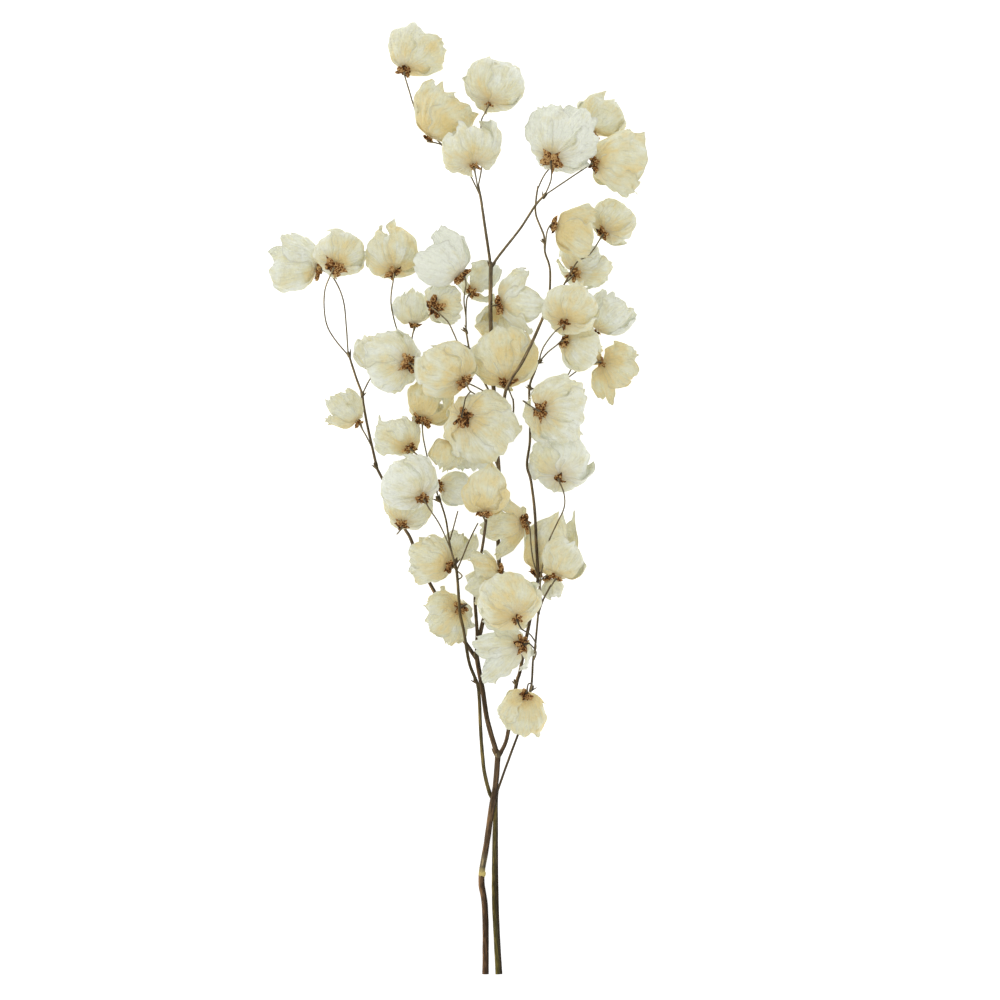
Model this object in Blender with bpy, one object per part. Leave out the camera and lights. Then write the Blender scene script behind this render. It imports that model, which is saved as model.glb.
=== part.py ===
"""Dried bougainvillea: three cut stems with papery heads, laid down together as one bunch. Metres, +Z up."""

import math
import random
from collections import namedtuple

import bmesh
import bpy
from mathutils import Vector

# Driving dimensions
BUNCH_LENGTH = 0.65
PAPER = 0.00075
SEAT_GAP = 0.0003
DRIED_FLAT = 0.75
MM = 0.001

# The reference view, in its own pixels: x to the right, y down
TOP_ROW = 28
BOTTOM_ROW = 977
MIDDLE_ROW = 498.5
MIDDLE_COLUMN = 458.5
PIXEL = BUNCH_LENGTH / (BOTTOM_ROW - TOP_ROW)

# Sizes of the small parts
PEDICEL_RADIUS = 0.55 * MM
PEDICEL_STEP = 17 * MM
LIMB_STEP = 20 * MM
NECK = 3.5 * MM
CALYX_CENTRE_RADIUS = 2.4 * MM
CALYX_TIP_RADIUS = 5.2 * MM
CALYX_ROOT_RADIUS = 1.1 * MM
CALYX_DEPTH = 3.0 * MM
CALYX_TIP_RISE = 0.3 * MM
SEPALS = 5
COLUMNS = 2
BUD_SIDES = 4
CALYX_CROWN_RISE = 0.1 * MM
SOCKET_RISE = 0.4 * MM
RIM_RISE = 0.6 * MM
BUD_FOOT_SHARE = 0.4
LAP_SHARE = 0.085
LAP_GROWTH = 3.0
FLOOR_CLEARANCE = 0.05 * MM

# The least and the most of a head's axis that the view may show, as shares
LEAST_IN_VIEW = 0.5
MOST_IN_VIEW = 0.97

# How far one bract differs from the next, as lowest and highest shares
STRETCHES = (0.84, 1.10)
OPENINGS = (-0.10, 0.24)
BREADTHS = (0.88, 1.16)
SHIFTS = (-0.20, 0.20)

# Where a bract's rows stand, and how far its torn corners rise or fall, as shares of its length
ROWS = (1 / 3, 2 / 3)
FIRST_TEAR = (-0.06, 0.0)
TEARS = (-0.05, 0.03)

# A form is a bract's profile: shares of the half width and of the length, and of the free width,
# from root to tip
Form = namedtuple("Form", "length radius axial width tip ragged")
GLOBE = Form(0.88, (0.24, 0.84, 1.00, 0.46), (0.03, 0.22, 0.63, 0.97), (1.0, 0.97, 1.14, 0.72), 0.12, 0.05)
TULIP = Form(1.00, (0.24, 0.84, 0.98, 0.36), (0.03, 0.20, 0.60, 0.94), (1.0, 0.97, 1.12, 0.55), 0.10, 0.03)
CUP = Form(0.78, (0.24, 0.76, 1.00, 0.84), (0.03, 0.26, 0.66, 0.98), (1.0, 0.97, 1.12, 0.82), 0.11, 0.08)
STAR = Form(0.58, (0.26, 0.66, 0.92, 0.98), (0.03, 0.26, 0.58, 0.92), (1.0, 0.92, 0.86, 0.42), 0.20, 0.06)

IN_FRONT = 1
BEHIND = -1

# One head: its name, calyx and middle in pixels, width in pixels, height of its middle in millimetres,
# form, number of bracts, turn about its own axis in degrees, and the side its calyx shows on
Head = namedtuple("Head", "name calyx middle width height form bracts turn side long flat",
                  defaults=(IN_FRONT, 1.0, DRIED_FLAT))
HEADS = (
    Head("head_01", (406, 69), (414, 53), 54, 20, CUP, 4, 20),
    Head("head_02", (489, 103), (494, 85), 54, 31, GLOBE, 4, 70),
    Head("head_03", (430, 137), (440, 118), 56, 25, CUP, 4, 10),
    Head("head_04", (474, 166), (472, 146), 56, 44, TULIP, 4, 50),
    Head("head_05", (552, 160), (559, 145), 64, 47, CUP, 5, 0),
    Head("head_06", (593, 131), (605, 111), 46, 12, GLOBE, 4, 30),
    Head("head_07", (596, 164), (614, 163), 54, 34, CUP, 4, 80),
    Head("head_08", (556, 226), (575, 231), 48, 38, CUP, 4, 15),
    Head("head_09", (605, 232), (614, 221), 44, 20, GLOBE, 4, 40),
    Head("head_10", (575, 273), (582, 265), 48, 13, CUP, 4, 60),
    Head("head_11", (564, 323), (571, 308), 50, 47, TULIP, 4, 5),
    Head("head_12", (597, 330), (611, 311), 44, 16, CUP, 4, 75),
    Head("head_13", (566, 342), (582, 347), 44, 31, GLOBE, 4, 35),
    Head("head_14", (602, 363), (608, 367), 54, 12, STAR, 4, 90),
    Head("head_15", (541, 411), (553, 411), 64, 46, CUP, 4, 45),
    Head("head_16", (559, 477), (561, 462), 58, 24, GLOBE, 4, 25),
    Head("head_17", (538, 572), (551, 540), 46, 14, GLOBE, 4, 0, IN_FRONT, 1.55),
    Head("head_18", (557, 575), (565, 558), 42, 50, GLOBE, 4, 65),
    Head("head_19", (484, 512), (486, 491), 44, 49, TULIP, 4, 85),
    Head("head_20", (523, 523), (509, 524), 54, 24, STAR, 4, 10),
    Head("head_21", (448, 566), (435, 560), 44, 30, CUP, 4, 30),
    Head("head_22", (455, 558), (462, 542), 34, 13, GLOBE, 3, 0, BEHIND),
    Head("head_23", (459, 609), (450, 615), 50, 20, STAR, 5, 20, IN_FRONT, 1.0, 0.6),
    Head("head_24", (499, 573), (482, 575), 48, 37, STAR, 5, 55),
    Head("head_25", (516, 617), (509, 601), 58, 56, GLOBE, 4, 15),
    Head("head_26", (521, 645), (510, 648), 54, 38, STAR, 4, 40),
    Head("head_27", (526, 696), (523, 709), 45, 34, CUP, 4, 70),
    Head("head_28", (317, 268), (296, 263), 54, 15, CUP, 4, 10),
    Head("head_29", (335, 266), (340, 254), 46, 34, GLOBE, 4, 50),
    Head("head_30", (394, 271), (392, 251), 52, 30, TULIP, 4, 45),
    Head("head_31", (461, 275), (443, 258), 52, 46, CUP, 4, 20),
    Head("head_32", (414, 323), (413, 307), 37, 17, GLOBE, 4, 60),
    Head("head_33", (435, 307), (443, 304), 40, 33, CUP, 4, 80),
    Head("head_34", (472, 291), (478, 284), 42, 11, STAR, 3, 30),
    Head("head_35", (501, 304), (518, 300), 62, 28.5, STAR, 4, 0),
    Head("head_36", (495, 333), (495, 321), 38, 11, GLOBE, 4, 25, BEHIND),
    Head("head_37", (507, 382), (505, 362), 64, 34, CUP, 5, 30, IN_FRONT, 1.0, 0.55),
    Head("head_38", (463, 381), (446, 367), 58, 50, GLOBE, 4, 40),
    Head("head_39", (424, 419), (430, 402), 46, 23, GLOBE, 4, 15),
    Head("head_40", (464, 418), (475, 424), 66, 48, CUP, 5, 10),
    Head("head_41", (450, 440), (445, 459), 33, 30, TULIP, 3, 70),
    Head("head_42", (470, 441), (472, 456), 36, 13, GLOBE, 3, 90),
    Head("head_43", (409, 447), (402, 438), 42, 25, CUP, 4, 55),
    Head("head_44", (422, 497), (410, 482), 54, 47, GLOBE, 4, 5),
    Head("head_45", (403, 524), (407, 511), 46, 24.5, CUP, 4, 35),
    Head("head_46", (442, 487), (457, 488), 34, 14, TULIP, 3, 0),
    Head("head_47", (376, 365), (371, 351), 36, 11, GLOBE, 4, 20),
    Head("head_48", (407, 363), (395, 361), 56, 35, CUP, 4, 75),
    Head("head_49", (357, 421), (346, 409), 36, 12, CUP, 4, 45),
    Head("head_50", (549, 580), (553, 590), 22, 30, GLOBE, 3, 0),
)

# One bract: its turn and half its spread in radians, and its stretch and opening as shares
Bract = namedtuple("Bract", "turn spread stretch opening")

# Bracts of the heads that show most: turn and half spread in degrees, stretch and opening as shares
BRACTS = {
    "head_01": ((140, 52, 1.05, 0.0), (42, 50, 0.92, 0.15), (235, 48, 1.0, 0.05), (320, 48, 0.85, 0.2)),
    "head_02": ((140, 46, 1.15, 0.0), (35, 55, 0.95, 0.2), (225, 40, 0.8, 0.1), (305, 45, 0.85, 0.25)),
    "head_03": ((132, 50, 1.18, 0.0), (38, 55, 0.98, 0.28), (225, 45, 0.9, 0.1), (310, 45, 0.8, 0.2)),
    "head_04": ((150, 52, 0.72, 0.25), (62, 45, 0.70, 0.1), (0, 38, 1.2, -0.05), (215, 40, 1.15, -0.05)),
    "head_05": ((150, 42, 1.0, 0.1), (75, 40, 1.05, 0.05), (10, 45, 1.0, 0.3), (300, 40, 0.9, 0.2),
                (225, 40, 1.0, 0.0)),
    "head_06": ((60, 55, 1.05, 0.05), (140, 40, 1.0, 0.0), (330, 45, 0.9, 0.1), (235, 45, 0.9, 0.1)),
    "head_07": ((90, 60, 1.0, 0.25), (180, 50, 1.0, 0.3), (10, 50, 0.95, 0.3), (270, 50, 0.9, 0.25)),
    "head_08": ((150, 50, 1.0, 0.05), (55, 50, 1.0, 0.1), (330, 45, 0.95, 0.1), (235, 45, 0.95, 0.0)),
    "head_09": ((80, 58, 1.0, 0.0), (160, 42, 1.0, 0.0), (5, 45, 0.97, 0.0), (265, 52, 1.0, 0.03)),
    "head_10": ((150, 36, 0.75, 0.3), (80, 38, 0.8, 0.0), (15, 42, 0.9, 0.25), (270, 50, 0.8, 0.1)),
    "head_11": ((150, 50, 1.0, 0.1), (60, 52, 0.98, 0.05), (235, 45, 0.95, 0.1), (325, 45, 0.95, 0.1)),
    "head_12": ((60, 50, 1.05, 0.1), (135, 45, 1.1, 0.05), (335, 45, 0.95, 0.25), (235, 50, 1.0, 0.05)),
    "head_13": ((160, 55, 1.0, 0.0), (60, 55, 1.0, 0.05), (325, 45, 0.9, 0.05), (240, 45, 0.9, 0.05)),
    "head_14": ((20, 40, 1.1, 0.1), (95, 44, 1.0, 0.0), (165, 38, 1.1, 0.15), (265, 40, 0.7, 0.0)),
    "head_15": ((165, 58, 1.15, 0.15), (80, 42, 0.9, 0.05), (10, 42, 0.9, 0.1), (300, 42, 0.9, 0.3)),
    "head_16": ((140, 55, 1.0, 0.0), (45, 55, 1.0, 0.06), (225, 45, 0.9, 0.1), (310, 45, 0.9, 0.1)),
    "head_17": ((115, 50, 1.0, 0.0), (30, 45, 0.75, 0.1), (205, 45, 0.9, 0.1), (300, 45, 1.05, 0.1)),
    "head_19": ((75, 58, 1.25, -0.1), (165, 45, 0.8, 0.35), (350, 45, 0.8, 0.35), (270, 50, 0.8, 0.1)),
    "head_20": ((10, 42, 1.1, 0.25), (90, 42, 1.2, -0.1), (170, 38, 1.1, 0.3), (270, 40, 0.6, 0.0)),
    "head_21": ((90, 54, 1.0, 0.12), (10, 48, 0.95, 0.2), (180, 44, 0.95, 0.25), (270, 48, 0.7, 0.1)),
    "head_23": ((20, 48, 1.0, 0.1), (92, 50, 1.1, 0.05), (162, 46, 1.15, 0.1), (235, 45, 0.8, 0.1),
                (310, 45, 0.8, 0.1)),
    "head_24": ((40, 52, 1.1, 0.15), (115, 52, 1.2, 0.1), (180, 42, 1.1, 0.2), (325, 42, 0.8, 0.1),
                (250, 40, 0.7, 0.0)),
    "head_25": ((60, 60, 1.0, 0.05), (150, 45, 1.05, 0.1), (320, 45, 0.9, 0.1), (235, 45, 0.9, 0.1)),
    "head_26": ((0, 42, 1.0, 0.1), (65, 42, 1.25, 0.1), (125, 42, 1.3, 0.15), (230, 45, 0.8, 0.1)),
    "head_27": ((20, 48, 0.75, 0.2), (95, 52, 0.95, 0.05), (170, 45, 1.15, 0.2), (270, 50, 0.85, 0.1)),
    "head_28": ((30, 46, 0.9, 0.25), (120, 60, 1.0, 0.0), (210, 45, 0.85, 0.05), (300, 48, 0.75, 0.1)),
    "head_29": ((60, 55, 1.05, 0.02), (150, 52, 1.02, 0.03), (240, 45, 0.95, 0.0), (325, 45, 0.95, 0.03)),
    "head_30": ((160, 44, 1.0, 0.0), (100, 38, 0.80, -0.05), (38, 50, 1.0, 0.05), (270, 60, 0.85, 0.1)),
    "head_31": ((130, 60, 1.05, 0.2), (40, 45, 1.1, 0.0), (320, 40, 0.9, 0.1), (230, 45, 1.0, 0.1)),
    "head_34": ((90, 52, 1.3, 0.0), (330, 45, 0.9, 0.3), (205, 48, 0.8, 0.0)),
    "head_35": ((150, 48, 1.0, 0.05), (70, 48, 1.1, 0.0), (5, 42, 0.8, 0.0), (265, 50, 0.8, 0.0)),
    "head_37": ((92, 43, 1.05, 0.0), (162, 40, 1.0, 0.0), (22, 41, 1.0, 0.02), (308, 40, 0.95, 0.0),
                (236, 40, 0.95, 0.0)),
    "head_38": ((90, 56, 0.98, 0.0), (170, 40, 0.95, -0.08), (10, 42, 0.95, 0.0), (270, 50, 0.9, 0.1)),
    "head_40": ((85, 46, 1.2, 0.15), (22, 40, 1.15, 0.12), (150, 42, 1.06, 0.04), (228, 42, 0.9, 0.05),
                (305, 42, 0.95, 0.05)),
    "head_44": ((100, 65, 1.0, 0.0), (20, 40, 1.0, 0.1), (190, 40, 0.9, 0.1), (280, 55, 0.9, 0.1)),
    "head_46": ((60, 62, 1.0, 0.05), (180, 62, 1.0, 0.05), (300, 60, 0.9, 0.0)),
    "head_47": ((90, 52, 1.0, 0.0), (0, 45, 0.95, 0.0), (180, 50, 1.0, 0.05), (270, 50, 0.8, 0.0)),
    "head_50": ((110, 61, 1.0, 0.0), (230, 60, 1.0, 0.0), (350, 60, 0.97, 0.0)),
    "head_41": ((70, 52, 1.0, 0.0), (190, 52, 0.97, 0.0), (310, 52, 1.0, 0.0)),
    "head_48": ((40, 54, 1.0, 0.12), (140, 52, 0.9, 0.1), (215, 45, 0.8, 0.1), (315, 45, 0.8, 0.05)),
    "head_49": ((95, 42, 1.2, 0.05), (25, 40, 1.1, 0.0), (170, 36, 0.9, 0.35), (265, 50, 0.8, 0.0)),
}

# A limb: its route as pixels and height in millimetres, its first and last radius in millimetres, its sides
Limb = namedtuple("Limb", "route first last sides")
STEM_A_LIMBS = (
    Limb(((485.5, 976, 2.3), (485, 911, 2.4), (481.5, 880, 2.8), (487, 843, 4.5), (492, 806, 7.0),
          (495, 790, 8.2), (498, 754, 13)), 2.15, 1.9, 8),
    Limb(((498, 758, 12.6), (488, 723, 15), (482.5, 690, 17), (478, 665, 18), (476, 653, 18)), 1.8, 1.6, 7),
    Limb(((477, 660, 18), (471, 651, 17), (459, 633, 12), (447, 613, 8), (433, 590, 8), (419, 562, 8),
          (410, 538, 8), (403, 526, 8), (388, 491, 9), (376, 467, 9)), 1.45, 0.95, 6),
    Limb(((377, 469, 9), (368, 430, 10), (363, 403, 11), (362, 394, 11), (356, 378, 12), (348, 353, 13)),
         0.95, 0.7, 5),
    Limb(((476, 656, 18), (477, 632, 18), (475, 600, 17), (477, 580, 17), (479, 566, 19), (483, 543, 30),
          (486, 520, 47)), 1.2, 0.9, 5),
    Limb(((476, 657, 18), (480.5, 632, 15), (486, 612, 12), (495, 590, 9), (499, 573, 9), (498, 537, 9),
          (499, 476, 10), (497, 450, 15)), 1.45, 1.4, 6),
    Limb(((497, 455, 14), (496, 425, 14), (494, 395, 14), (492, 365, 17), (491, 340, 23), (490.5, 300, 27),
          (491, 263, 29)), 1.45, 1.4, 6),
    Limb(((491, 268, 29), (484, 220, 35), (481, 200, 38), (478, 186, 42)), 1.0, 0.85, 5),
    Limb(((491, 268, 29), (498, 257, 30), (520, 229, 33), (535, 206, 37), (545, 195, 39)), 0.9, 0.75, 5),
    Limb(((497, 452, 15), (501, 430, 20), (503, 410, 32), (506, 390, 45), (513, 376, 48), (520, 366, 48),
          (530, 347, 45), (542, 320, 36), (549, 302, 31)), 1.2, 1.0, 6),
    Limb(((497, 453, 15), (504, 440, 20), (510, 427, 25), (513.5, 411, 34), (513, 399, 40)), 0.7, 0.6, 4),
    Limb(((549, 305, 31), (550, 270, 30), (545, 252, 30), (544, 236, 30), (536, 215, 28), (536, 200, 28),
          (538, 186, 27)), 0.8, 0.6, 5),
    Limb(((549, 304, 31), (558, 295, 30), (566, 281, 30), (573, 268, 31)), 0.7, 0.6, 4),
    Limb(((498, 757, 12.8), (506, 742, 15), (511, 715, 17), (517, 682, 18), (520, 672, 18), (526, 640, 17),
          (532, 610, 18), (536, 587, 22), (538, 576, 24), (536, 540, 29), (534.7, 511, 29), (531, 481, 26),
          (527, 465, 24), (530, 441, 21), (530, 412, 20), (529.5, 387, 20), (535, 371, 21), (539, 360, 22)),
         1.4, 0.75, 6),
    Limb(((529.5, 387, 20), (545, 393, 16), (558, 388, 16), (567, 378, 18)), 0.65, 0.6, 4),
    Limb(((493, 398, 14), (480, 374, 14), (471, 356, 18), (466, 331, 22)), 0.7, 0.6, 4),
)
STEM_B_LIMBS = (
    Limb(((498, 976, 4.1), (494.4, 911, 4.1), (494, 878, 3.9), (494.4, 845, 3.7), (495, 806, 3.6),
          (490, 795, 4.2), (485, 776, 8), (482.5, 756, 12), (480.6, 728, 17), (478.7, 690, 22.5),
          (475, 678, 24), (469, 662, 26), (464, 632, 32), (460, 614, 36), (459, 600, 36), (457, 574, 36),
          (454.6, 560, 36)), 1.65, 0.9, 6),
    Limb(((456, 568, 36), (450, 545, 37), (446, 520, 35), (440, 500, 31)), 0.75, 0.65, 4),
    Limb(((450, 540, 37), (458, 511, 42)), 0.55, 0.45, 4),
    Limb(((457, 570, 36), (463, 556, 46), (470, 539, 50), (478, 523, 51)), 0.55, 0.45, 4),
)
STEM_C_LIMBS = (
    Limb(((501, 976, 1.1), (499, 930, 1.1), (498, 880, 1.1), (497.3, 806, 1.6), (497.0, 797, 1.9),
          (500, 785, 3), (511, 754, 8), (523, 721, 13), (531, 689, 18), (533, 660, 21), (535, 648, 22),
          (538.4, 612, 24)), 0.95, 0.7, 5),
    Limb(((538.4, 614, 24), (544, 598, 32), (551, 585, 44)), 0.65, 0.6, 4),
)

# A pedicel's route from its limb towards its head, as pixels and height in millimetres
STEM_A_PEDICELS = {
    "head_01": ((452, 153, 25), (432, 134, 9), (416, 110, 9), (409, 90, 16)),
    "head_02": ((478, 188, 41), (482, 162, 25), (481, 124, 27), (485, 113, 33)),
    "head_03": ((481, 198, 38), (466, 168, 25), (448, 151, 25), (440, 144, 29)),
    "head_04": ((478, 190, 41), (476, 178, 54)),
    "head_05": ((544, 197, 38), (551, 180, 52)),
    "head_06": ((538, 188, 27), (547, 171, 21), (566, 154, 13), (581, 144, 10)),
    "head_07": ((544, 196, 38), (566, 181, 37), (584, 169, 37)),
    "head_08": ((545, 251, 30), (547, 232, 38)),
    "head_09": ((572, 270, 31), (578, 261, 32), (590, 254, 32)),
    "head_10": ((565, 283, 30), (570, 279, 30)),
    "head_11": ((539, 361, 22), (543, 348, 28), (553, 334, 50)),
    "head_12": ((566, 379, 18), (575, 362, 10), (587, 343, 9)),
    "head_13": ((539, 362, 22), (548, 352, 26), (557, 345, 32)),
    "head_14": ((566, 379, 18), (580, 369, 21), (592, 364, 24)),
    "head_15": ((530, 404, 20), (523, 401, 38), (530, 406, 60)),
    "head_17": ((538, 580, 23),),
    "head_19": ((485.6, 523, 46),),
    "head_20": ((538, 576, 24), (533, 560, 27), (531, 545, 30), (530, 530, 34)),
    "head_24": ((499, 580, 9), (507, 580, 22), (510, 576, 38)),
    "head_28": ((348, 357, 13), (346, 327, 14), (343, 300, 15), (334, 279, 18)),
    "head_29": ((349, 356, 13), (336, 341, 14), (327, 326, 17), (324, 308, 22), (325, 290, 32),
                (330, 277, 41)),
    "head_30": ((412, 352, 12), (399, 335, 12), (391, 303, 26)),
    "head_31": ((466, 333, 22), (466, 318, 26), (464, 300, 38), (466, 285, 54)),
    "head_32": ((447, 378, 23), (426, 366, 14), (412, 352, 12), (412, 337, 15)),
    "head_33": ((471.5, 349, 18.6), (466, 346, 20), (458, 342, 25), (454, 334, 36), (447, 321, 44)),
    "head_34": ((466, 333, 22), (466, 311, 20), (467, 298, 22)),
    "head_35": ((490.7, 306, 27),),
    "head_36": ((491.5, 352, 20), (495, 345, 8)),
    "head_37": ((513, 400, 40),),
    "head_38": ((493, 401, 14), (483, 398, 20), (473, 393, 36), (469, 390, 54)),
    "head_40": ((471, 391.5, 45), (466, 398, 61), (464, 407, 69)),
    "head_41": ((497, 452, 15), (482, 445, 26), (466, 436, 29), (457, 433, 30)),
    "head_42": ((498.4, 470, 10.4), (489, 446, 8), (478, 433, 9)),
    "head_45": ((403, 527, 8), (397, 534, 22), (399, 532, 36)),
    "head_47": ((362, 394, 11), (369, 380, 14)),
    "head_48": ((494, 397, 14), (470, 384, 20), (447, 378, 23), (430, 372, 34), (420, 368, 48)),
    "head_49": ((371, 446, 10), (366, 436, 12), (362, 429, 16)),
}
STEM_B_PEDICELS = {
    "head_21": ((455, 565, 36), (453, 568, 40)),
    "head_22": ((457, 580, 36), (462, 576, 20), (455, 569, 8)),
    "head_23": ((460, 606, 36), (467, 604, 32)),
    "head_39": ((441, 503, 31), (433, 482, 26), (427, 456, 26), (423, 436, 30)),
    "head_43": ((429, 464, 26), (420, 457, 30)),
    "head_44": ((456, 566, 36), (450, 548, 41), (440, 525, 46), (429, 508, 56)),
    "head_46": ((440, 501, 31), (437, 492, 27)),
}
STEM_C_PEDICELS = {
    "head_16": ((538.4, 613, 24), (539.4, 585, 31), (547, 547, 35), (556, 525, 34), (564, 508, 32),
                (564, 494, 34)),
    "head_18": ((551, 586, 43),),
    "head_25": ((533, 657, 21), (536, 645, 38), (530, 634, 58), (521, 628, 68)),
    "head_26": ((533, 662, 21), (536, 652, 36), (529, 643, 46)),
    "head_27": ((531, 691, 18), (532, 684, 34), (528, 684, 48)),
    "head_50": ((542, 602, 30), (540.5, 590, 35), (541, 580, 34)),
}

# A bud or small bract: its foot as pixels and height, the pixels it points by, and its length and width
Bud = namedtuple("Bud", "foot towards length width")
STEM_A_BUDS = (
    Bud((482, 876, 2.9), (2, -8), 7, 5.2),
    Bud((498, 756, 12.8), (0, -8), 7, 5.0),
    Bud((476, 656, 18), (-1, -8), 6, 4.2),
    Bud((497, 452, 15), (0, -8), 8, 5.0),
    Bud((491, 266, 29), (1, -6), 5, 3.8),
    Bud((549, 303, 31), (1, -6), 5, 3.2),
    Bud((544, 197, 38), (2, -7), 5, 2.6),
    Bud((376, 467, 9), (-4, -7), 6, 3.0),
    Bud((362, 395, 11), (2, -8), 5, 2.8),
    Bud((349, 355, 13), (-3, -8), 6, 2.6),
    Bud((516, 684, 18), (-3, -7), 6, 2.8),
    Bud((539, 362, 22), (5, -3), 5, 2.6),
    Bud((466, 331, 22), (-4, -5), 6, 2.4),
    Bud((474.5, 363, 16.6), (4, 5), 6, 3.0),
    Bud((544, 242, 30), (-4, -6), 5, 2.4),
    Bud((530, 388, 20), (-4, -6), 5, 2.6),
)
STEM_B_BUDS = (
    Bud((439, 500, 31), (-4, -5), 6, 3.6),
    Bud((455, 563, 36), (3, -8), 7, 3.2),
    Bud((476, 682, 23.6), (-5, -7), 5, 2.8),
)
STEM_C_BUDS = (
    Bud((531, 690, 18), (4, -6), 6, 2.8),
    Bud((538.4, 612, 24), (-3, -7), 5, 2.4),
)

# Colours read from the reference: Principled base colours
PAPER_COLOUR = (0.86, 0.80, 0.62, 1.0)
STEM_COLOURS = {
    "stem_a": (0.30, 0.22, 0.15, 1.0),
    "stem_b": (0.30, 0.27, 0.13, 1.0),
    "stem_c": (0.20, 0.15, 0.10, 1.0),
}


def spot(column, row, height):
    """A pixel of the reference view and a height in millimetres, as a place in metres."""
    return Vector(((column - MIDDLE_COLUMN) * PIXEL, (MIDDLE_ROW - row) * PIXEL, height * MM))


def clear_scene():
    for thing in list(bpy.data.objects):
        bpy.data.objects.remove(thing, do_unlink=True)


def material(name, colour, roughness):
    made = bpy.data.materials.new(name)
    made.use_nodes = True
    shader = made.node_tree.nodes["Principled BSDF"]
    shader.inputs["Base Color"].default_value = colour
    shader.inputs["Roughness"].default_value = roughness
    shader.inputs["Metallic"].default_value = 0.0
    return made


def through(values, share):
    """A smooth curve through evenly spaced values, read at a share of its length."""
    spans = len(values) - 1
    span = min(int(share * spans), spans - 1)
    part = share * spans - span
    before = values[max(span - 1, 0)]
    first, second = values[span], values[span + 1]
    after = values[min(span + 2, spans)]
    slope_in = (second - before) / 2
    slope_out = (after - first) / 2
    square, cube = part * part, part * part * part
    return ((2 * cube - 3 * square + 1) * first + (cube - 2 * square + part) * slope_in
            + (3 * square - 2 * cube) * second + (cube - square) * slope_out)


def pose_of(head):
    """The head's root, its unit axis from calyx to mouth, two vectors across it, half width and length."""
    half = head.width * PIXEL / 2
    length = head.width * PIXEL * head.form.length * head.long
    flat = spot(*head.middle, 0) - spot(*head.calyx, 0)
    across_view = max(min(flat.length / (length / 2), MOST_IN_VIEW), LEAST_IN_VIEW)
    rise = -head.side * math.sqrt(1 - across_view * across_view)
    axis = flat.normalized() * across_view
    axis.z = rise
    root = spot(*head.calyx, head.height) - Vector((0, 0, rise * length / 2 * head.flat))
    side = axis.cross(Vector((0, 0, 1))).normalized()
    return root, axis, side, side.cross(axis), half, length


def set_in_head(head, pose, out, turn, along):
    """A point given by distance from the head's axis, turn and distance along it, dried a little flat."""
    root, axis, side, other, _, _ = pose
    offset = axis * along + (side * math.cos(turn) + other * math.sin(turn)) * out
    offset.z *= head.flat
    place = root + offset
    place.z = max(place.z, PAPER / 2 + FLOOR_CLEARANCE)
    return place


def bracts_of(head):
    """Each bract of a head: its turn, half its spread, and how far it is stretched and opened."""
    if head.name in BRACTS:
        return [Bract(math.radians(turn), math.radians(spread), stretch, opening)
                for turn, spread, stretch, opening in sorted(BRACTS[head.name])]
    draw = random.Random(head.name + " bracts")
    half_turn = math.pi / head.bracts
    made = []
    for number in range(head.bracts):
        shift = draw.uniform(*SHIFTS) * half_turn
        spread = draw.uniform(*BREADTHS) * half_turn
        turn = math.radians(head.turn) + 2 * half_turn * number + shift
        made.append(Bract(turn, spread, draw.uniform(*STRETCHES), draw.uniform(*OPENINGS)))
    return made


def bract_point(head, pose, bract, across, along, tear=0.0):
    """A point of a bract's middle surface: across runs from -1 to 1 and along from root 0 to tip 1."""
    form = head.form
    half, length = pose[4], pose[5]
    turn = bract.turn + across * bract.spread * through(form.width, along)
    lap = across * LAP_SHARE * half * min(1.0, LAP_GROWTH * along)
    out = half * (through(form.radius, along) + bract.opening * along ** 3) + lap
    rise = through(form.axial, along) * bract.stretch
    up = length * (rise - form.tip * across * across * along ** 3 + tear)
    return set_in_head(head, pose, out, turn, up)


def bract_rows(bm, head, pose, bract, ring, draw):
    """One bract: two rows of faces and a torn top row, as triangles, rising from its stretch of the ring."""
    columns = len(ring) - 1
    spread = [2 * step / columns - 1 for step in range(columns + 1)]
    below = ring
    for along in ROWS:
        row = [bm.verts.new(bract_point(head, pose, bract, across, along)) for across in spread]
        for step in range(columns):
            bm.faces.new((below[step], below[step + 1], row[step + 1]))
            bm.faces.new((below[step], row[step + 1], row[step]))
        below = row
    for step in range(columns):
        if step == 0:
            left = bm.verts.new(bract_point(head, pose, bract, spread[0], 1, draw.uniform(*FIRST_TEAR)))
        middle = (spread[step] + spread[step + 1]) / 2
        notch = -head.form.ragged - draw.uniform(0, head.form.ragged)
        tooth = bm.verts.new(bract_point(head, pose, bract, middle, 1, notch))
        right = bm.verts.new(bract_point(head, pose, bract, spread[step + 1], 1, draw.uniform(*TEARS)))
        bm.faces.new((below[step], tooth, left))
        bm.faces.new((below[step], below[step + 1], tooth))
        bm.faces.new((below[step + 1], right, tooth))
        left = right


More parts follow.
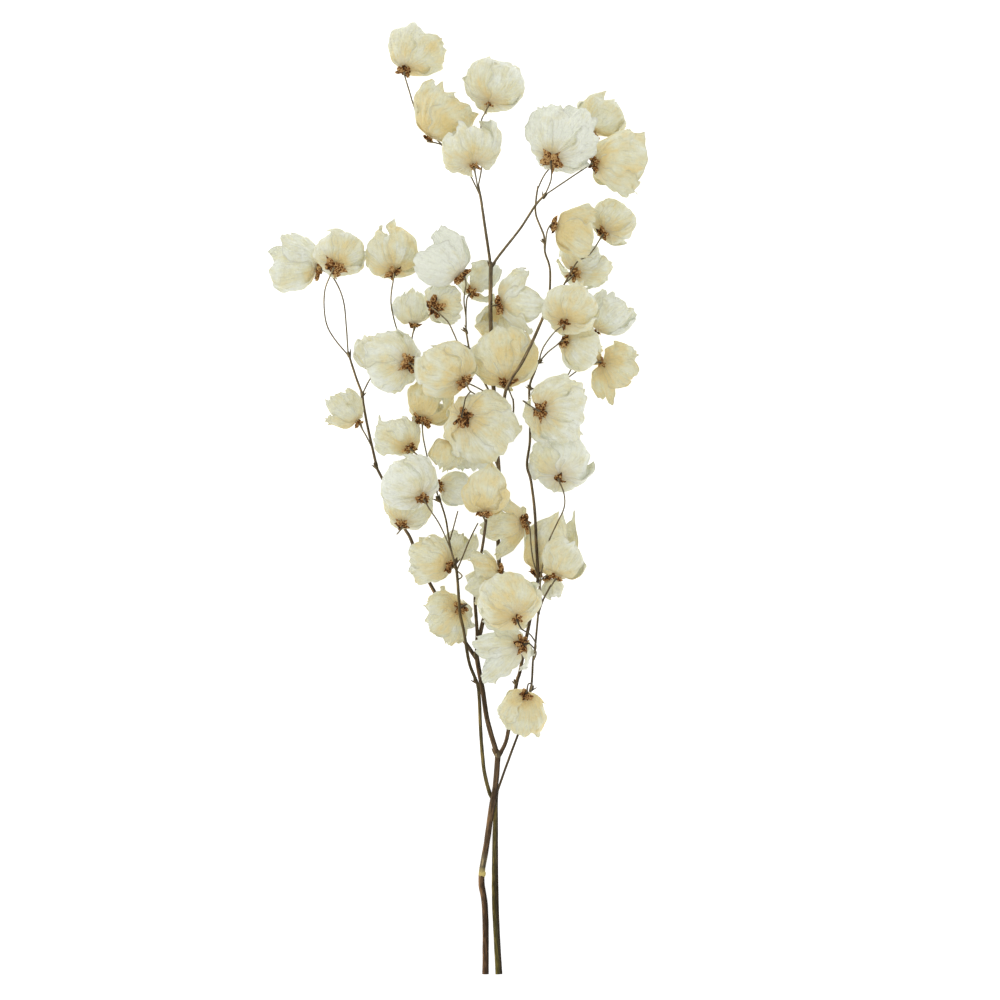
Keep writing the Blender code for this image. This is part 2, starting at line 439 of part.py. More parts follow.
def make_head(head, paper):
    """A hollow papery head: a small round base and bracts that lap edge over edge above it."""
    draw = random.Random(head.name)
    pose = pose_of(head)
    bm = bmesh.new()
    count = head.bracts * COLUMNS
    bracts = bracts_of(head)
    half_turn = math.pi / head.bracts
    lead = sum(bract.turn - 2 * half_turn * number for number, bract in enumerate(bracts)) / head.bracts
    form = head.form
    ring = []
    for step in range(count):
        turn = lead - half_turn + 2 * math.pi * step / count
        rim = set_in_head(head, pose, pose[4] * form.radius[0], turn, base_height(pose, form))
        ring.append(bm.verts.new(rim))
    middle = bm.verts.new(set_in_head(head, pose, 0, 0, PAPER / 2 + SEAT_GAP + SOCKET_RISE))
    for step in range(count):
        bm.faces.new((middle, ring[step], ring[(step + 1) % count]))
    for number, bract in enumerate(bracts):
        stretch = [ring[(number * COLUMNS + step) % count] for step in range(COLUMNS + 1)]
        bract_rows(bm, head, pose, bract, stretch, draw)
    bmesh.ops.recalc_face_normals(bm, faces=bm.faces)
    mesh = bpy.data.meshes.new(head.name)
    bm.to_mesh(mesh)
    bm.free()
    mesh.materials.append(paper)
    made = bpy.data.objects.new(head.name, mesh)
    bpy.context.collection.objects.link(made)
    wall = made.modifiers.new("paper", "SOLIDIFY")
    wall.thickness = PAPER
    wall.offset = 0.0
    return made


def base_height(pose, form):
    """How far above the calyx the round base's rim stands."""
    return max(pose[5] * form.axial[0], PAPER / 2 + SEAT_GAP + RIM_RISE)


def smooth_route(points, step):
    """Places along a smooth curve through the given ones, about a step apart."""
    steps = [points[0]]
    last = len(points) - 1
    for span in range(last):
        before = points[max(span - 1, 0)]
        first, second = points[span], points[span + 1]
        after = points[min(span + 2, last)]
        pieces = max(1, round((second - first).length / step))
        for piece in range(1, pieces + 1):
            part = piece / pieces
            square, cube = part * part, part * part * part
            steps.append((2 * cube - 3 * square + 1) * first
                         + (cube - 2 * square + part) * (second - before) / 2
                         + (3 * square - 2 * cube) * second
                         + (cube - square) * (after - first) / 2)
    return steps


def tube(name, route, first, last, sides):
    """A closed tube along a route, tapering from the first radius to the last."""
    bm = bmesh.new()
    rings = []
    guide = Vector((0, 0, 1))
    for index, place in enumerate(route):
        ahead = route[min(index + 1, len(route) - 1)] - route[max(index - 1, 0)]
        ahead.normalize()
        guide = (guide - ahead * guide.dot(ahead)).normalized()
        side = ahead.cross(guide)
        radius = first + (last - first) * index / (len(route) - 1)
        ring = []
        for step in range(sides):
            turn = 2 * math.pi * (step + 0.5) / sides
            ring.append(bm.verts.new(place + (guide * math.cos(turn) + side * math.sin(turn)) * radius))
        rings.append(ring)
    for lower, upper in zip(rings, rings[1:]):
        for step in range(sides):
            following = (step + 1) % sides
            bm.faces.new((lower[step], lower[following], upper[following], upper[step]))
    bm.faces.new(rings[0])
    bm.faces.new(rings[-1])
    return solid_from(name, bm)


def solid_from(name, bm):
    """A closed shape as an object, its faces turned outwards."""
    bmesh.ops.recalc_face_normals(bm, faces=bm.faces)
    if bm.calc_volume(signed=True) < 0:
        bmesh.ops.reverse_faces(bm, faces=bm.faces)
    bmesh.ops.triangulate(bm, faces=bm.faces)
    mesh = bpy.data.meshes.new(name)
    bm.to_mesh(mesh)
    bm.free()
    return bpy.data.objects.new(name, mesh)


def make_calyx(head):
    """The small brown star under a head: a cone whose rim has pointed sepals."""
    pose = pose_of(head)
    bm = bmesh.new()
    rim = []
    foot = []
    for step in range(2 * SEPALS):
        turn = math.pi * step / SEPALS
        pointed = step % 2 == 0
        out = CALYX_TIP_RADIUS if pointed else CALYX_CENTRE_RADIUS
        along = CALYX_TIP_RISE if pointed else 0.0
        rim.append(bm.verts.new(set_in_head(head, pose, out, turn, along)))
    for step in range(SEPALS):
        turn = 2 * math.pi * step / SEPALS
        foot.append(bm.verts.new(set_in_head(head, pose, CALYX_ROOT_RADIUS, turn, -CALYX_DEPTH)))
    middle = bm.verts.new(set_in_head(head, pose, 0, 0, CALYX_CROWN_RISE))
    for step in range(2 * SEPALS):
        bm.faces.new((middle, rim[step], rim[(step + 1) % (2 * SEPALS)]))
    for step in range(SEPALS):
        tip, valley, following = rim[2 * step], rim[2 * step + 1], rim[(2 * step + 2) % (2 * SEPALS)]
        here, beside = foot[step], foot[(step + 1) % SEPALS]
        bm.faces.new((tip, here, valley))
        bm.faces.new((here, beside, valley))
        bm.faces.new((beside, following, valley))
    bm.faces.new(foot)
    return solid_from(head.name + "_calyx", bm)


def make_pedicel(head, stops):
    """A thin stalk from its limb to the foot of the head's calyx, which it enters along the head's axis."""
    root, axis = pose_of(head)[:2]
    route = [spot(*stop) for stop in stops]
    neck = axis.copy()
    neck.z *= head.flat
    route.append(root - neck * NECK)
    route.append(root - neck * CALYX_DEPTH / 2)
    for place in route:
        place.z = max(place.z, PEDICEL_RADIUS + FLOOR_CLEARANCE)
    steps = smooth_route(route, PEDICEL_STEP)
    return tube(head.name + "_pedicel", steps, PEDICEL_RADIUS, PEDICEL_RADIUS, 3)


def make_bud(bud, name):
    """A pointed bud or swelling: a double cone with its foot sunk in the limb."""
    foot = spot(*bud.foot)
    ahead = Vector((bud.towards[0], -bud.towards[1], 0)).normalized()
    length = bud.length * MM
    bm = bmesh.new()
    upright = Vector((0, 0, 1))
    side = ahead.cross(upright)
    ring = []
    for step in range(BUD_SIDES):
        turn = 2 * math.pi * step / BUD_SIDES
        outwards = upright * math.cos(turn) + side * math.sin(turn)
        ring.append(bm.verts.new(foot + outwards * bud.width * MM / 2))
    ends = [bm.verts.new(foot - ahead * length * BUD_FOOT_SHARE),
            bm.verts.new(foot + ahead * length * (1 - BUD_FOOT_SHARE))]
    for step in range(BUD_SIDES):
        for end in ends:
            bm.faces.new((ring[step], ring[(step + 1) % BUD_SIDES], end))
    return solid_from(name, bm)


def fuse(name, pieces, look):
    """All of a stem's pieces as one solid: the first takes the rest in a Boolean union."""
    body, rest = pieces[0], pieces[1:]
    group = bpy.data.collections.new(name + "_pieces")
    bpy.context.scene.collection.children.link(group)
    for piece in rest:
        group.objects.link(piece)
    bpy.context.collection.objects.link(body)
    body.name = name
    body.data.name = name
    union = body.modifiers.new("fuse", "BOOLEAN")
    union.operation = "UNION"
    union.operand_type = "COLLECTION"
    union.collection = group
    union.solver = "MANIFOLD"
    graph = bpy.context.evaluated_depsgraph_get()
    fused = bpy.data.meshes.new_from_object(body.evaluated_get(graph))
    body.modifiers.clear()
    body.data = fused
    fused.name = name
    for piece in rest:
        bpy.data.objects.remove(piece, do_unlink=True)
    bpy.data.collections.remove(group)
    fused.materials.clear()
    fused.materials.append(look)
    return body


def make_stem(name, limbs, pedicels, buds, heads):
    """One cut stem with its limbs, pedicels, calyces and buds, fused in one solid."""
    pieces = []
    for index, limb in enumerate(limbs):
        route = smooth_route([spot(*stop) for stop in limb.route], LIMB_STEP)
        pieces.append(tube(f"{name}_limb_{index}", route, limb.first * MM, limb.last * MM, limb.sides))
    for head_name, stops in pedicels.items():
        pieces.append(make_pedicel(heads[head_name], stops))
        pieces.append(make_calyx(heads[head_name]))
    for index, bud in enumerate(buds):
        pieces.append(make_bud(bud, f"{name}_bud_{index}"))
    return fuse(name, pieces, material(name, STEM_COLOURS[name], 0.75))


def build():
    clear_scene()
    heads = {head.name: head for head in HEADS}
    make_stem("stem_a", STEM_A_LIMBS, STEM_A_PEDICELS, STEM_A_BUDS, heads)
    make_stem("stem_b", STEM_B_LIMBS, STEM_B_PEDICELS, STEM_B_BUDS, heads)
    make_stem("stem_c", STEM_C_LIMBS, STEM_C_PEDICELS, STEM_C_BUDS, heads)
    paper = material("paper", PAPER_COLOUR, 0.6)
    for head in HEADS:
        make_head(head, paper)


build()
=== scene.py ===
"""The looks of a dried bougainvillea bunch: fine papery heads, ridged stems and ragged calyces."""

import math
import random
from collections import namedtuple

import bmesh
import bpy
from bpy.props import FloatProperty, FloatVectorProperty, IntProperty, PointerProperty
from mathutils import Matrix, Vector, noise


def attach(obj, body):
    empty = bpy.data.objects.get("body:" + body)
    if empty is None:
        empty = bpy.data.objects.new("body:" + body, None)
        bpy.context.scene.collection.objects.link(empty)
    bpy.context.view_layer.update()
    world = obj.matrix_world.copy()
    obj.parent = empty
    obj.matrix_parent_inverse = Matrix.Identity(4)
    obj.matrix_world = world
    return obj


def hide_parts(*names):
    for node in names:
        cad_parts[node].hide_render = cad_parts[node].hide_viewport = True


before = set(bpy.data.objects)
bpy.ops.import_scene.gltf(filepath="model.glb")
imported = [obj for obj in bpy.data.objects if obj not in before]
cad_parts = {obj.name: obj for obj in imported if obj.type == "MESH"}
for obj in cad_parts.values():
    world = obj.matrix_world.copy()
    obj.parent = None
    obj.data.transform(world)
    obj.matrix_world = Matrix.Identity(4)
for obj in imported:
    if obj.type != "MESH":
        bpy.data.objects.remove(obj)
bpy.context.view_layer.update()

bl_info = {
    "name": "Dried Bougainvillea Bunch",
    "version": (1, 0, 0),
    "blender": (4, 5, 0),
    "location": "3D View > Sidebar > Bunch",
    "description": "Dresses a packed bunch with papery bracts, ridged stems and ragged calyces",
    "category": "Object",
}

# Driving dimensions, in metres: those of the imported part, whose origin is under the middle of the bunch
BUNCH_LENGTH = 0.65
MM = 0.001
DRIED_FLAT = 0.75
NECK = 3.5 * MM
CALYX_DEPTH = 3.0 * MM
LAP_SHARE = 0.055
LAP_GROWTH = 3.0
FLOOR_CLEARANCE = 0.25 * MM

# The reference view, in its own pixels: x to the right, y down
VIEW_PIXELS = 1000
TOP_ROW = 28
BOTTOM_ROW = 977
MIDDLE_ROW = 498.5
MIDDLE_COLUMN = 458.5
PIXEL = BUNCH_LENGTH / (BOTTOM_ROW - TOP_ROW)

# The camera stands far off and straight above the middle of the view
VIEW_CENTRE = (500, 500)
CAMERA_LENS = 400.0
CAMERA_SENSOR = 36.0
VIEW_HEIGHT = 30 * MM

# How much a plain white floor and sky shine, and each soft light's place, size, power and colour
FLOOR_GLOW = 0.72
SKY_GLOW = 0.73
WHITE = (1.0, 1.0, 1.0, 1.0)
LIGHTS = {
    "key": ((-0.9, 0.8, 1.8), 1.6, 7.0, (1.0, 0.98, 0.95)),
    "fill": ((1.1, -0.6, 1.8), 2.2, 4.0, (1.0, 1.0, 1.0)),
}

# A form is a bract's profile: its length as a share of the head's width, then from root to tip shares of the
# half width, the length and the free width, and how far its tip is rounded
Form = namedtuple("Form", "length radius axial width tip")
GLOBE = Form(0.88, (0.24, 0.84, 1.00, 0.46), (0.03, 0.22, 0.63, 0.97), (1.0, 0.97, 1.14, 0.72), 0.12)
TULIP = Form(1.00, (0.24, 0.84, 0.98, 0.36), (0.03, 0.20, 0.60, 0.94), (1.0, 0.97, 1.12, 0.55), 0.10)
CUP = Form(0.78, (0.24, 0.76, 1.00, 0.84), (0.03, 0.26, 0.66, 0.98), (1.0, 0.97, 1.12, 0.82), 0.11)
STAR = Form(0.58, (0.26, 0.66, 0.92, 0.98), (0.03, 0.26, 0.58, 0.92), (1.0, 0.92, 0.86, 0.42), 0.20)

IN_FRONT = 1
BEHIND = -1

# Bracts that follow one rule: their number, and the turn of the first in degrees. The lowest and highest
# shares below say how far one of them differs from the next
Ruled = namedtuple("Ruled", "number turn")
STRETCHES = (0.84, 1.10)
OPENINGS = (-0.10, 0.24)
BREADTHS = (0.88, 1.16)
SHIFTS = (-0.20, 0.20)

# One head: how far its colour goes from white (0) to straw (1), calyx and middle in pixels, width in pixels,
# height of its middle in millimetres, and form. Its bracts follow the rule, or each has its turn and half
# spread in degrees and its stretch and opening as shares. Then the side its calyx shows on, and how much
# longer than its form and how flat it is
Head = namedtuple("Head", "name warmth calyx middle width height form bracts side long flat",
                  defaults=(IN_FRONT, 1.0, DRIED_FLAT))
HEADS = {head.name: head for head in (
    Head("head_01", 0.55, (406, 69), (414, 53), 54, 20, CUP,
         ((140, 52, 1.05, 0.0), (42, 50, 0.92, 0.15), (235, 48, 1.0, 0.05), (320, 48, 0.85, 0.2))),
    Head("head_02", 0.45, (489, 103), (494, 85), 54, 31, GLOBE,
         ((140, 46, 1.15, 0.0), (35, 55, 0.95, 0.2), (225, 40, 0.8, 0.1), (305, 45, 0.85, 0.25))),
    Head("head_03", 0.75, (430, 137), (440, 118), 56, 25, CUP,
         ((132, 50, 1.18, 0.0), (38, 55, 0.98, 0.28), (225, 45, 0.9, 0.1), (310, 45, 0.8, 0.2))),
    Head("head_04", 0.38, (474, 166), (472, 146), 56, 44, TULIP,
         ((150, 52, 0.72, 0.25), (62, 45, 0.70, 0.1), (0, 38, 1.2, -0.05), (215, 40, 1.15, -0.05))),
    Head("head_05", 0.12, (552, 160), (559, 145), 64, 47, CUP,
         ((150, 42, 1.0, 0.1), (75, 40, 1.05, 0.05), (10, 45, 1.0, 0.3), (300, 40, 0.9, 0.2),
          (225, 40, 1.0, 0.0))),
    Head("head_06", 0.68, (593, 131), (605, 111), 46, 12, GLOBE,
         ((60, 55, 1.05, 0.05), (140, 40, 1.0, 0.0), (330, 45, 0.9, 0.1), (235, 45, 0.9, 0.1))),
    Head("head_07", 0.62, (596, 164), (614, 163), 54, 34, CUP,
         ((90, 60, 1.0, 0.25), (180, 50, 1.0, 0.3), (10, 50, 0.95, 0.3), (270, 50, 0.9, 0.25))),
    Head("head_08", 0.95, (556, 226), (575, 231), 48, 38, CUP,
         ((150, 50, 1.0, 0.05), (55, 50, 1.0, 0.1), (330, 45, 0.95, 0.1), (235, 45, 0.95, 0.0))),
    Head("head_09", 0.55, (605, 232), (614, 221), 44, 20, GLOBE,
         ((80, 58, 1.0, 0.0), (160, 42, 1.0, 0.0), (5, 45, 0.97, 0.0), (265, 52, 1.0, 0.03))),
    Head("head_10", 0.42, (575, 273), (582, 265), 48, 13, CUP,
         ((150, 36, 0.75, 0.3), (80, 38, 0.8, 0.0), (15, 42, 0.9, 0.25), (270, 50, 0.8, 0.1))),
    Head("head_11", 0.62, (564, 323), (571, 308), 50, 47, TULIP,
         ((150, 50, 1.0, 0.1), (60, 52, 0.98, 0.05), (235, 45, 0.95, 0.1), (325, 45, 0.95, 0.1))),
    Head("head_12", 0.30, (597, 330), (611, 311), 44, 16, CUP,
         ((60, 50, 1.05, 0.1), (135, 45, 1.1, 0.05), (335, 45, 0.95, 0.25), (235, 50, 1.0, 0.05))),
    Head("head_13", 0.55, (566, 342), (582, 347), 44, 31, GLOBE,
         ((160, 55, 1.0, 0.0), (60, 55, 1.0, 0.05), (325, 45, 0.9, 0.05), (240, 45, 0.9, 0.05))),
    Head("head_14", 0.80, (602, 363), (608, 367), 54, 12, STAR,
         ((20, 40, 1.1, 0.1), (95, 44, 1.0, 0.0), (165, 38, 1.1, 0.15), (265, 40, 0.7, 0.0))),
    Head("head_15", 0.45, (541, 411), (553, 411), 64, 46, CUP,
         ((165, 58, 1.15, 0.15), (80, 42, 0.9, 0.05), (10, 42, 0.9, 0.1), (300, 42, 0.9, 0.3))),
    Head("head_16", 0.18, (559, 477), (561, 462), 58, 24, GLOBE,
         ((140, 55, 1.0, 0.0), (45, 55, 1.0, 0.06), (225, 45, 0.9, 0.1), (310, 45, 0.9, 0.1))),
    Head("head_17", 0.72, (538, 572), (551, 540), 46, 14, GLOBE,
         ((115, 50, 1.0, 0.0), (30, 45, 0.75, 0.1), (205, 45, 0.9, 0.1), (300, 45, 1.05, 0.1)), long=1.55),
    Head("head_18", 0.70, (557, 575), (565, 558), 42, 50, GLOBE, Ruled(4, 65)),
    Head("head_19", 0.90, (484, 512), (486, 491), 44, 49, TULIP,
         ((75, 58, 1.25, -0.1), (165, 45, 0.8, 0.35), (350, 45, 0.8, 0.35), (270, 50, 0.8, 0.1))),
    Head("head_20", 0.58, (523, 523), (509, 524), 54, 24, STAR,
         ((10, 42, 1.1, 0.25), (90, 42, 1.2, -0.1), (170, 38, 1.1, 0.3), (270, 40, 0.6, 0.0))),
    Head("head_21", 0.75, (448, 566), (435, 560), 44, 30, CUP,
         ((90, 54, 1.0, 0.12), (10, 48, 0.95, 0.2), (180, 44, 0.95, 0.25), (270, 48, 0.7, 0.1))),
    Head("head_22", 0.48, (455, 558), (462, 542), 34, 13, GLOBE, Ruled(3, 0), side=BEHIND),
    Head("head_23", 0.68, (459, 609), (450, 615), 50, 20, STAR,
         ((20, 48, 1.0, 0.1), (92, 50, 1.1, 0.05), (162, 46, 1.15, 0.1), (235, 45, 0.8, 0.1),
          (310, 45, 0.8, 0.1)), flat=0.6),
    Head("head_24", 0.72, (499, 573), (482, 575), 48, 37, STAR,
         ((40, 52, 1.1, 0.15), (115, 52, 1.2, 0.1), (180, 42, 1.1, 0.2), (325, 42, 0.8, 0.1),
          (250, 40, 0.7, 0.0))),
    Head("head_25", 0.60, (516, 617), (509, 601), 58, 56, GLOBE,
         ((60, 60, 1.0, 0.05), (150, 45, 1.05, 0.1), (320, 45, 0.9, 0.1), (235, 45, 0.9, 0.1))),
    Head("head_26", 0.20, (521, 645), (510, 648), 54, 38, STAR,
         ((0, 42, 1.0, 0.1), (65, 42, 1.25, 0.1), (125, 42, 1.3, 0.15), (230, 45, 0.8, 0.1))),
    Head("head_27", 0.75, (526, 696), (523, 709), 45, 34, CUP,
         ((20, 48, 0.75, 0.2), (95, 52, 0.95, 0.05), (170, 45, 1.15, 0.2), (270, 50, 0.85, 0.1))),
    Head("head_28", 0.40, (317, 268), (296, 263), 54, 15, CUP,
         ((30, 46, 0.9, 0.25), (120, 60, 1.0, 0.0), (210, 45, 0.85, 0.05), (300, 48, 0.75, 0.1))),
    Head("head_29", 0.55, (335, 266), (340, 254), 46, 34, GLOBE,
         ((60, 55, 1.05, 0.02), (150, 52, 1.02, 0.03), (240, 45, 0.95, 0.0), (325, 45, 0.95, 0.03))),
    Head("head_30", 0.62, (394, 271), (392, 251), 52, 30, TULIP,
         ((160, 44, 1.0, 0.0), (100, 38, 0.80, -0.05), (38, 50, 1.0, 0.05), (270, 60, 0.85, 0.1))),
    Head("head_31", 0.10, (461, 275), (443, 258), 52, 46, CUP,
         ((130, 60, 1.05, 0.2), (40, 45, 1.1, 0.0), (320, 40, 0.9, 0.1), (230, 45, 1.0, 0.1))),
    Head("head_32", 0.35, (414, 323), (413, 307), 37, 17, GLOBE, Ruled(4, 60)),
    Head("head_33", 0.42, (435, 307), (443, 304), 40, 33, CUP, Ruled(4, 80)),
    Head("head_34", 0.30, (472, 291), (478, 284), 42, 11, STAR,
         ((90, 52, 1.3, 0.0), (330, 45, 0.9, 0.3), (205, 48, 0.8, 0.0))),
    Head("head_35", 0.42, (501, 304), (518, 300), 62, 28.5, STAR,
         ((150, 48, 1.0, 0.05), (70, 48, 1.1, 0.0), (5, 42, 0.8, 0.0), (265, 50, 0.8, 0.0))),
    Head("head_36", 0.75, (495, 333), (495, 321), 38, 11, GLOBE, Ruled(4, 25), side=BEHIND),
    Head("head_37", 0.78, (507, 382), (505, 362), 64, 34, CUP,
         ((92, 43, 1.05, 0.0), (162, 40, 1.0, 0.0), (22, 41, 1.0, 0.02), (308, 40, 0.95, 0.0),
          (236, 40, 0.95, 0.0)), flat=0.55),
    Head("head_38", 0.58, (463, 381), (446, 367), 58, 50, GLOBE,
         ((90, 56, 0.98, 0.0), (170, 40, 0.95, -0.08), (10, 42, 0.95, 0.0), (270, 50, 0.9, 0.1))),
    Head("head_39", 0.74, (424, 419), (430, 402), 46, 23, GLOBE, Ruled(4, 15)),
    Head("head_40", 0.58, (464, 418), (475, 424), 66, 48, CUP,
         ((85, 46, 1.2, 0.15), (22, 40, 1.15, 0.12), (150, 42, 1.06, 0.04), (228, 42, 0.9, 0.05),
          (305, 42, 0.95, 0.05))),
    Head("head_41", 0.80, (450, 440), (445, 459), 33, 30, TULIP,
         ((70, 52, 1.0, 0.0), (190, 52, 0.97, 0.0), (310, 52, 1.0, 0.0))),
    Head("head_42", 0.30, (470, 441), (472, 456), 36, 13, GLOBE, Ruled(3, 90)),
    Head("head_43", 0.60, (409, 447), (402, 438), 42, 25, CUP, Ruled(4, 55)),
    Head("head_44", 0.14, (422, 497), (410, 482), 54, 47, GLOBE,
         ((100, 65, 1.0, 0.0), (20, 40, 1.0, 0.1), (190, 40, 0.9, 0.1), (280, 55, 0.9, 0.1))),
    Head("head_45", 0.42, (403, 524), (407, 511), 46, 24.5, CUP, Ruled(4, 35)),
    Head("head_46", 0.25, (442, 487), (457, 488), 34, 14, TULIP,
         ((60, 62, 1.0, 0.05), (180, 62, 1.0, 0.05), (300, 60, 0.9, 0.0))),
    Head("head_47", 0.50, (376, 365), (371, 351), 36, 11, GLOBE,
         ((90, 52, 1.0, 0.0), (0, 45, 0.95, 0.0), (180, 50, 1.0, 0.05), (270, 50, 0.8, 0.0))),
    Head("head_48", 0.32, (407, 363), (395, 361), 56, 35, CUP,
         ((40, 54, 1.0, 0.12), (140, 52, 0.9, 0.1), (215, 45, 0.8, 0.1), (315, 45, 0.8, 0.05))),
    Head("head_49", 0.68, (357, 421), (346, 409), 36, 12, CUP,
         ((95, 42, 1.2, 0.05), (25, 40, 1.1, 0.0), (170, 36, 0.9, 0.35), (265, 50, 0.8, 0.0))),
    Head("head_50", 0.50, (549, 580), (553, 590), 22, 30, GLOBE,
         ((110, 61, 1.0, 0.0), (230, 60, 1.0, 0.0), (350, 60, 0.97, 0.0))),
)}

# A limb: its route as pixels and height in millimetres, and its first and last radius in millimetres
Limb = namedtuple("Limb", "route first last")
STEM_A_LIMBS = (
    Limb(((485.5, 976, 2.3), (485, 911, 2.4), (481.5, 880, 2.8), (487, 843, 4.5), (492, 806, 7.0),
          (495, 790, 8.2), (498, 754, 13)), 2.15, 1.9),
    Limb(((498, 758, 12.6), (488, 723, 15), (482.5, 690, 17), (478, 665, 18), (476, 653, 18)), 1.8, 1.6),
    Limb(((477, 660, 18), (471, 651, 17), (459, 633, 12), (447, 613, 8), (433, 590, 8), (419, 562, 8),
          (410, 538, 8), (403, 526, 8), (388, 491, 9), (376, 467, 9)), 1.45, 0.95),
    Limb(((377, 469, 9), (368, 430, 10), (363, 403, 11), (362, 394, 11), (356, 378, 12), (348, 353, 13)),
         0.95, 0.7),
    Limb(((476, 656, 18), (477, 632, 18), (475, 600, 17), (477, 580, 17), (479, 566, 19), (483, 543, 30),
          (486, 520, 47)), 1.2, 0.9),
    Limb(((476, 657, 18), (480.5, 632, 15), (486, 612, 12), (495, 590, 9), (499, 573, 9), (498, 537, 9),
          (499, 476, 10), (497, 450, 15)), 1.45, 1.4),
    Limb(((497, 455, 14), (496, 425, 14), (494, 395, 14), (492, 365, 17), (491, 340, 23), (490.5, 300, 27),
          (491, 263, 29)), 1.45, 1.4),
    Limb(((491, 268, 29), (484, 220, 35), (481, 200, 38), (478, 186, 42)), 1.0, 0.85),
    Limb(((491, 268, 29), (498, 257, 30), (520, 229, 33), (535, 206, 37), (545, 195, 39)), 0.9, 0.75),
    Limb(((497, 452, 15), (501, 430, 20), (503, 410, 32), (506, 390, 45), (513, 376, 48), (520, 366, 48),
          (530, 347, 45), (542, 320, 36), (549, 302, 31)), 1.2, 1.0),
    Limb(((497, 453, 15), (504, 440, 20), (510, 427, 25), (513.5, 411, 34), (513, 399, 40)), 0.7, 0.6),
    Limb(((549, 305, 31), (550, 270, 30), (545, 252, 30), (544, 236, 30), (536, 215, 28), (536, 200, 28),
          (538, 186, 27)), 0.8, 0.6),
    Limb(((549, 304, 31), (558, 295, 30), (566, 281, 30), (573, 268, 31)), 0.7, 0.6),
    Limb(((498, 757, 12.8), (506, 742, 15), (511, 715, 17), (517, 682, 18), (520, 672, 18), (526, 640, 17),
          (532, 610, 18), (536, 587, 22), (538, 576, 24), (536, 540, 29), (534.7, 511, 29), (531, 481, 26),
          (527, 465, 24), (530, 441, 21), (530, 412, 20), (529.5, 387, 20), (535, 371, 21), (539, 360, 22)),
         1.4, 0.75),
    Limb(((529.5, 387, 20), (545, 393, 16), (558, 388, 16), (567, 378, 18)), 0.65, 0.6),
    Limb(((493, 398, 14), (480, 374, 14), (471, 356, 18), (466, 331, 22)), 0.7, 0.6),
)
STEM_B_LIMBS = (
    Limb(((498, 976, 4.1), (494.4, 911, 4.1), (494, 878, 3.9), (494.4, 845, 3.7), (495, 806, 3.6),
          (490, 795, 4.2), (485, 776, 8), (482.5, 756, 12), (480.6, 728, 17), (478.7, 690, 22.5),
          (475, 678, 24), (469, 662, 26), (464, 632, 32), (460, 614, 36), (459, 600, 36), (457, 574, 36),
          (454.6, 560, 36)), 1.65, 0.9),
    Limb(((456, 568, 36), (450, 545, 37), (446, 520, 35), (440, 500, 31)), 0.75, 0.65),
    Limb(((450, 540, 37), (458, 511, 42)), 0.55, 0.45),
    Limb(((457, 570, 36), (463, 556, 46), (470, 539, 50), (478, 523, 51)), 0.55, 0.45),
)
STEM_C_LIMBS = (
    Limb(((501, 976, 1.1), (498.3, 930, 1.1), (497, 880, 1.1), (496.8, 830, 1.3), (497.0, 797, 1.9),
          (500, 785, 3), (511, 754, 8), (523, 721, 13), (531, 689, 18), (533, 660, 21), (535, 648, 22),
          (538.4, 612, 24)), 0.95, 0.7),
    Limb(((538.4, 614, 24), (544, 598, 32), (551, 585, 44)), 0.65, 0.6),
)

